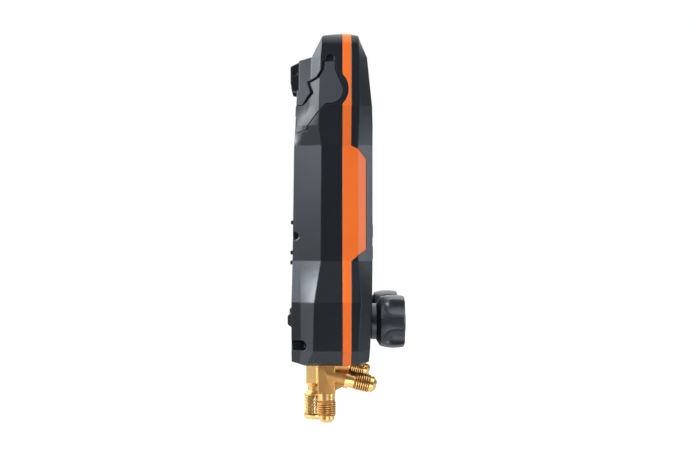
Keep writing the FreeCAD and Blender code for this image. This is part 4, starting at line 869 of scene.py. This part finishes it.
class GAUGE_OT_cap(GaugeOperator, bpy.types.Operator):
    """Model the service cap with its diamond knurl"""
    bl_idname = "gauge.cap"
    bl_label = "Service cap"

    def execute(self, context):
        sizes = context.scene.gauge_fittings
        low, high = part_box("service_cap")
        middle = Vector(((low[0] + high[0]) / 2, (low[1] + high[1]) / 2, 0.0))
        radius = (high[0] - low[0]) / 2
        grip_high = high[2] - CAP_RIM
        rows = round((grip_high - low[2] - CAP_END) / sizes.knurl_row)
        grip_low = grip_high - rows * sizes.knurl_row
        grip = self.knurled_sleeve(sizes, radius, grip_low, grip_high, rows)
        body = self.turned_body(sizes, radius, low[2], high[2], grip_low, grip_high)
        for part in (grip, body):
            part.data.transform(Matrix.Translation(middle))
        tone = self.finishes().turned_brass
        grip.data.materials.append(knurled_brass("Knurled brass", tone, sizes.knurl_columns, rows))
        body.data.materials.append(turned_brass("Turned cap", tone))
        piece = join([grip, body])
        piece.name = "knurled_cap"
        shade(piece, angle=24.0)
        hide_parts("service_cap")
        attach(piece, "cap")
        return {"FINISHED"}

    def knurled_sleeve(self, sizes, radius, low, high, rows):
        """Open sleeve of raised diamonds, poked out of a grid."""
        columns = sizes.knurl_columns
        valley = radius - sizes.knurl_height
        bpy.ops.object.select_all(action="DESELECT")
        bpy.ops.mesh.primitive_cylinder_add(vertices=columns, radius=valley, depth=high - low,
                                            end_fill_type="NOTHING",
                                            location=(0.0, 0.0, (low + high) / 2))
        piece = bpy.context.object
        bpy.ops.object.transform_apply(location=True, rotation=True, scale=True)
        mesh = piece.data
        bpy.ops.object.mode_set(mode="EDIT")
        bpy.ops.mesh.select_mode(type="EDGE")
        bpy.ops.mesh.select_all(action="DESELECT")
        bpy.ops.object.mode_set(mode="OBJECT")
        for edge in mesh.edges:
            ends = [mesh.vertices[index].co for index in edge.vertices]
            edge.select = abs(ends[0].z - ends[1].z) > (high - low) / 2
        bpy.ops.object.mode_set(mode="EDIT")
        bpy.ops.mesh.subdivide(number_cuts=rows - 1)
        bpy.ops.mesh.select_all(action="SELECT")
        bpy.ops.mesh.poke()
        bpy.ops.mesh.select_all(action="DESELECT")
        bpy.ops.object.mode_set(mode="OBJECT")
        self.select_grid_edges(mesh, low, high)
        bpy.ops.object.mode_set(mode="EDIT")
        bpy.ops.mesh.dissolve_edges(use_verts=False)
        bpy.ops.mesh.select_all(action="SELECT")
        bpy.ops.mesh.poke(offset=sizes.knurl_height)
        bpy.ops.object.mode_set(mode="OBJECT")
        return piece

    @staticmethod
    def select_grid_edges(mesh, low, high):
        """Select the edges of the first grid, which run level or upright, but not the two rims."""
        for edge in mesh.edges:
            one, other = [mesh.vertices[index].co for index in edge.vertices]
            level = abs(one.z - other.z) < LEVEL_REACH
            upright = math.hypot(one.x - other.x, one.y - other.y) < LEVEL_REACH
            rim = level and min(abs(one.z - low), abs(one.z - high)) < LEVEL_REACH
            edge.select = (level or upright) and not rim

    @staticmethod
    def turned_body(sizes, radius, low, high, grip_low, grip_high):
        """Plain turned ends, rounded closed end and plain bore as one closed shell."""
        valley = radius - sizes.knurl_height - KNURL_BACKING
        bore = sizes.crest + BORE_CLEARANCE
        floor = low + CAP_FLOOR
        angles = [math.radians(degrees) for degrees in range(90, -1, -18)]
        rounded = [(radius - CAP_ROUND * (1 - math.cos(angle)),
                    low + CAP_ROUND * (1 - math.sin(angle))) for angle in angles]
        outline = [(0.0, low)] + rounded + [
            (radius, grip_low - KNURL_STEP), (valley, grip_low), (valley, grip_high),
            (radius, grip_high + KNURL_STEP), (radius, high - CAP_CHAMFER),
            (radius - CAP_CHAMFER, high), (bore + BORE_CHAMFER, high), (bore, high - BORE_CHAMFER),
            (bore, floor), (0.0, floor)]
        piece = add_profile("cap_body", outline, closed=False)
        lathe(piece, steps=68)
        return piece


class GAUGE_OT_metal(GaugeOperator, bpy.types.Operator):
    """Finish the turned rings and nuts, the screws and the stems"""
    bl_idname = "gauge.metal"
    bl_label = "Brass and steel"

    def execute(self, context):
        tones = self.finishes()
        turned = turned_brass("Turned brass", tones.turned_brass)
        steel = plated_steel("Plated steel", tones.steel)
        blackened = plated_steel("Blackened steel", tones.blackened)
        for node in ("sight_glass_ring", "packing_nut_low", "packing_nut_high"):
            paint_node(node, turned)
        for node in ("battery_contacts", "probe_socket_left", "probe_socket_right",
                     "valve_stem_low", "valve_stem_high", "pressure_sensor_low",
                     "pressure_sensor_high"):
            paint_node(node, steel)
        for node in ("hook_pin", "housing_screws", "block_screws"):
            paint_node(node, blackened)
        return {"FINISHED"}


class GAUGE_OT_controls(GaugeOperator, bpy.types.Operator):
    """Finish the knobs, the keys, the display, the board and the cells"""
    bl_idname = "gauge.controls"
    bl_label = "Controls and display"

    def execute(self, context):
        tones = self.finishes()
        knob = moulded_plastic("Knob plastic", tones.knob, 0.34, grain=1.2, edge=0.4,
                               Specular_IOR_Level=0.6, Specular_Tint=STUDIO_BLUE)
        keys = soft_rubber("Key rubber", tones.key, 0.5)
        seat = moulded_plastic("White seat polymer", tones.seat, 0.4)
        for side in ("low", "high"):
            paint_node(f"valve_knob_{side}", knob)
            paint_node(f"knob_cap_{side}", knob)
            paint_node(f"seat_washer_{side}", seat)
        for node in NODES:
            if node.startswith("key_"):
                paint_node(node, keys)
            if node.startswith("battery_") and node[-1].isdigit():
                paint_node(node, cell_wrap(f"Sleeve of {node}", tones.cell))
        paint_node("display_window", clear_pane("Display window", tones.window, alpha=0.35))
        paint_node("sight_glass_lens", clear_pane("Sight glass", tones.lens, alpha=0.3))
        paint_node("display_module", reflective_display("Display", tones.display))
        paint_node("circuit_board", printed_board("Circuit board", tones.board))
        return {"FINISHED"}


class GAUGE_OT_marks(GaugeOperator, bpy.types.Operator):
    """Lay plain figures on the display and a generic mark on each key"""
    bl_idname = "gauge.marks"
    bl_label = "Figures and key marks"

    def execute(self, context):
        tones = self.finishes()
        ink = moulded_plastic("Display figures", tones.ink, 0.5)
        low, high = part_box("display_module")
        centre = (Vector(low) + Vector(high)) / 2
        figures = [self.figure(text, size * MM, Vector((across * MM, low[1], centre.z + up * MM)))
                   for text, size, across, up in DISPLAY_FIGURES]
        piece = join(figures)
        piece.name = "display_figures"
        piece.data.materials.clear()
        piece.data.materials.append(ink)
        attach(piece, "housing")
        paint = moulded_plastic("Key marks", tones.mark, 0.5)
        for key, (corners, turn) in KEY_MARKS.items():
            self.key_mark(key, corners, turn, paint)
        return {"FINISHED"}

    @staticmethod
    def figure(text, size, place):
        """Upright figures that face the front, as a thin mesh."""
        bpy.ops.object.select_all(action="DESELECT")
        bpy.ops.object.text_add()
        piece = bpy.context.object
        piece.data.body = text
        piece.data.size = size
        piece.data.extrude = FIGURE_DEPTH
        piece.data.align_x = "CENTER"
        piece.data.align_y = "CENTER"
        bpy.ops.object.convert(target="MESH")
        piece.data.transform(Matrix.Translation(place) @ Matrix.Rotation(math.pi / 2, 4, "X"))
        return piece

    @staticmethod
    def key_mark(key, corners, turn, paint):
        """Outline of a regular shape, printed on the face of a key."""
        low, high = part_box(key)
        centre = (Vector(low) + Vector(high)) / 2
        bpy.ops.object.select_all(action="DESELECT")
        bpy.ops.mesh.primitive_circle_add(vertices=corners, radius=MARK_RADIUS, fill_type="NGON")
        piece = bpy.context.object
        piece.name = f"mark_{key}"
        bpy.ops.object.mode_set(mode="EDIT")
        bpy.ops.mesh.select_all(action="SELECT")
        bpy.ops.mesh.inset(thickness=MARK_LINE)
        bpy.ops.mesh.delete(type="ONLY_FACE")
        bpy.ops.object.mode_set(mode="OBJECT")
        depth = piece.modifiers.new("Print", "SOLIDIFY")
        depth.thickness = MARK_DEPTH
        depth.offset = 0.0
        apply_modifier(piece, depth)
        upright = Matrix.Rotation(math.pi / 2, 4, "X") @ Matrix.Rotation(math.radians(turn), 4, "Z")
        place = Matrix.Translation(Vector((centre.x, low[1], centre.z)))
        piece.data.transform(place @ upright)
        piece.data.materials.append(paint)
        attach(piece, key)


class GAUGE_PT_panel(bpy.types.Panel):
    """Sidebar panel that lists the gauge's steps"""
    bl_label = "Refrigerant gauge"
    bl_idname = "GAUGE_PT_panel"
    bl_space_type = "VIEW_3D"
    bl_region_type = "UI"
    bl_category = "Gauge"

    def draw(self, context):
        """One button per step."""
        for operator in OPERATORS:
            self.layout.operator(operator.bl_idname, text=operator.bl_label)


OPERATORS = (GAUGE_OT_stage, GAUGE_OT_housing, GAUGE_OT_block, GAUGE_OT_cap, GAUGE_OT_metal,
             GAUGE_OT_controls, GAUGE_OT_marks)
CLASSES = (GaugeFinishes, GaugeFittings, GaugeView) + OPERATORS + (GAUGE_PT_panel,)


def register():
    """Register the classes and the settings."""
    for cls in CLASSES:
        bpy.utils.register_class(cls)
    bpy.types.Scene.gauge_finishes = bpy.props.PointerProperty(type=GaugeFinishes)
    bpy.types.Scene.gauge_fittings = bpy.props.PointerProperty(type=GaugeFittings)
    bpy.types.Scene.gauge_view = bpy.props.PointerProperty(type=GaugeView)


def unregister():
    """Remove the settings and the classes."""
    del bpy.types.Scene.gauge_view
    del bpy.types.Scene.gauge_fittings
    del bpy.types.Scene.gauge_finishes
    for cls in reversed(CLASSES):
        bpy.utils.unregister_class(cls)


def main():
    """Run every step in order."""
    register()
    bpy.ops.object.select_all(action="DESELECT")
    bpy.ops.gauge.stage()
    bpy.ops.gauge.housing()
    bpy.ops.gauge.block()
    bpy.ops.gauge.cap()
    bpy.ops.gauge.metal()
    bpy.ops.gauge.controls()
    bpy.ops.gauge.marks()


if __name__ == "__main__":
    main()
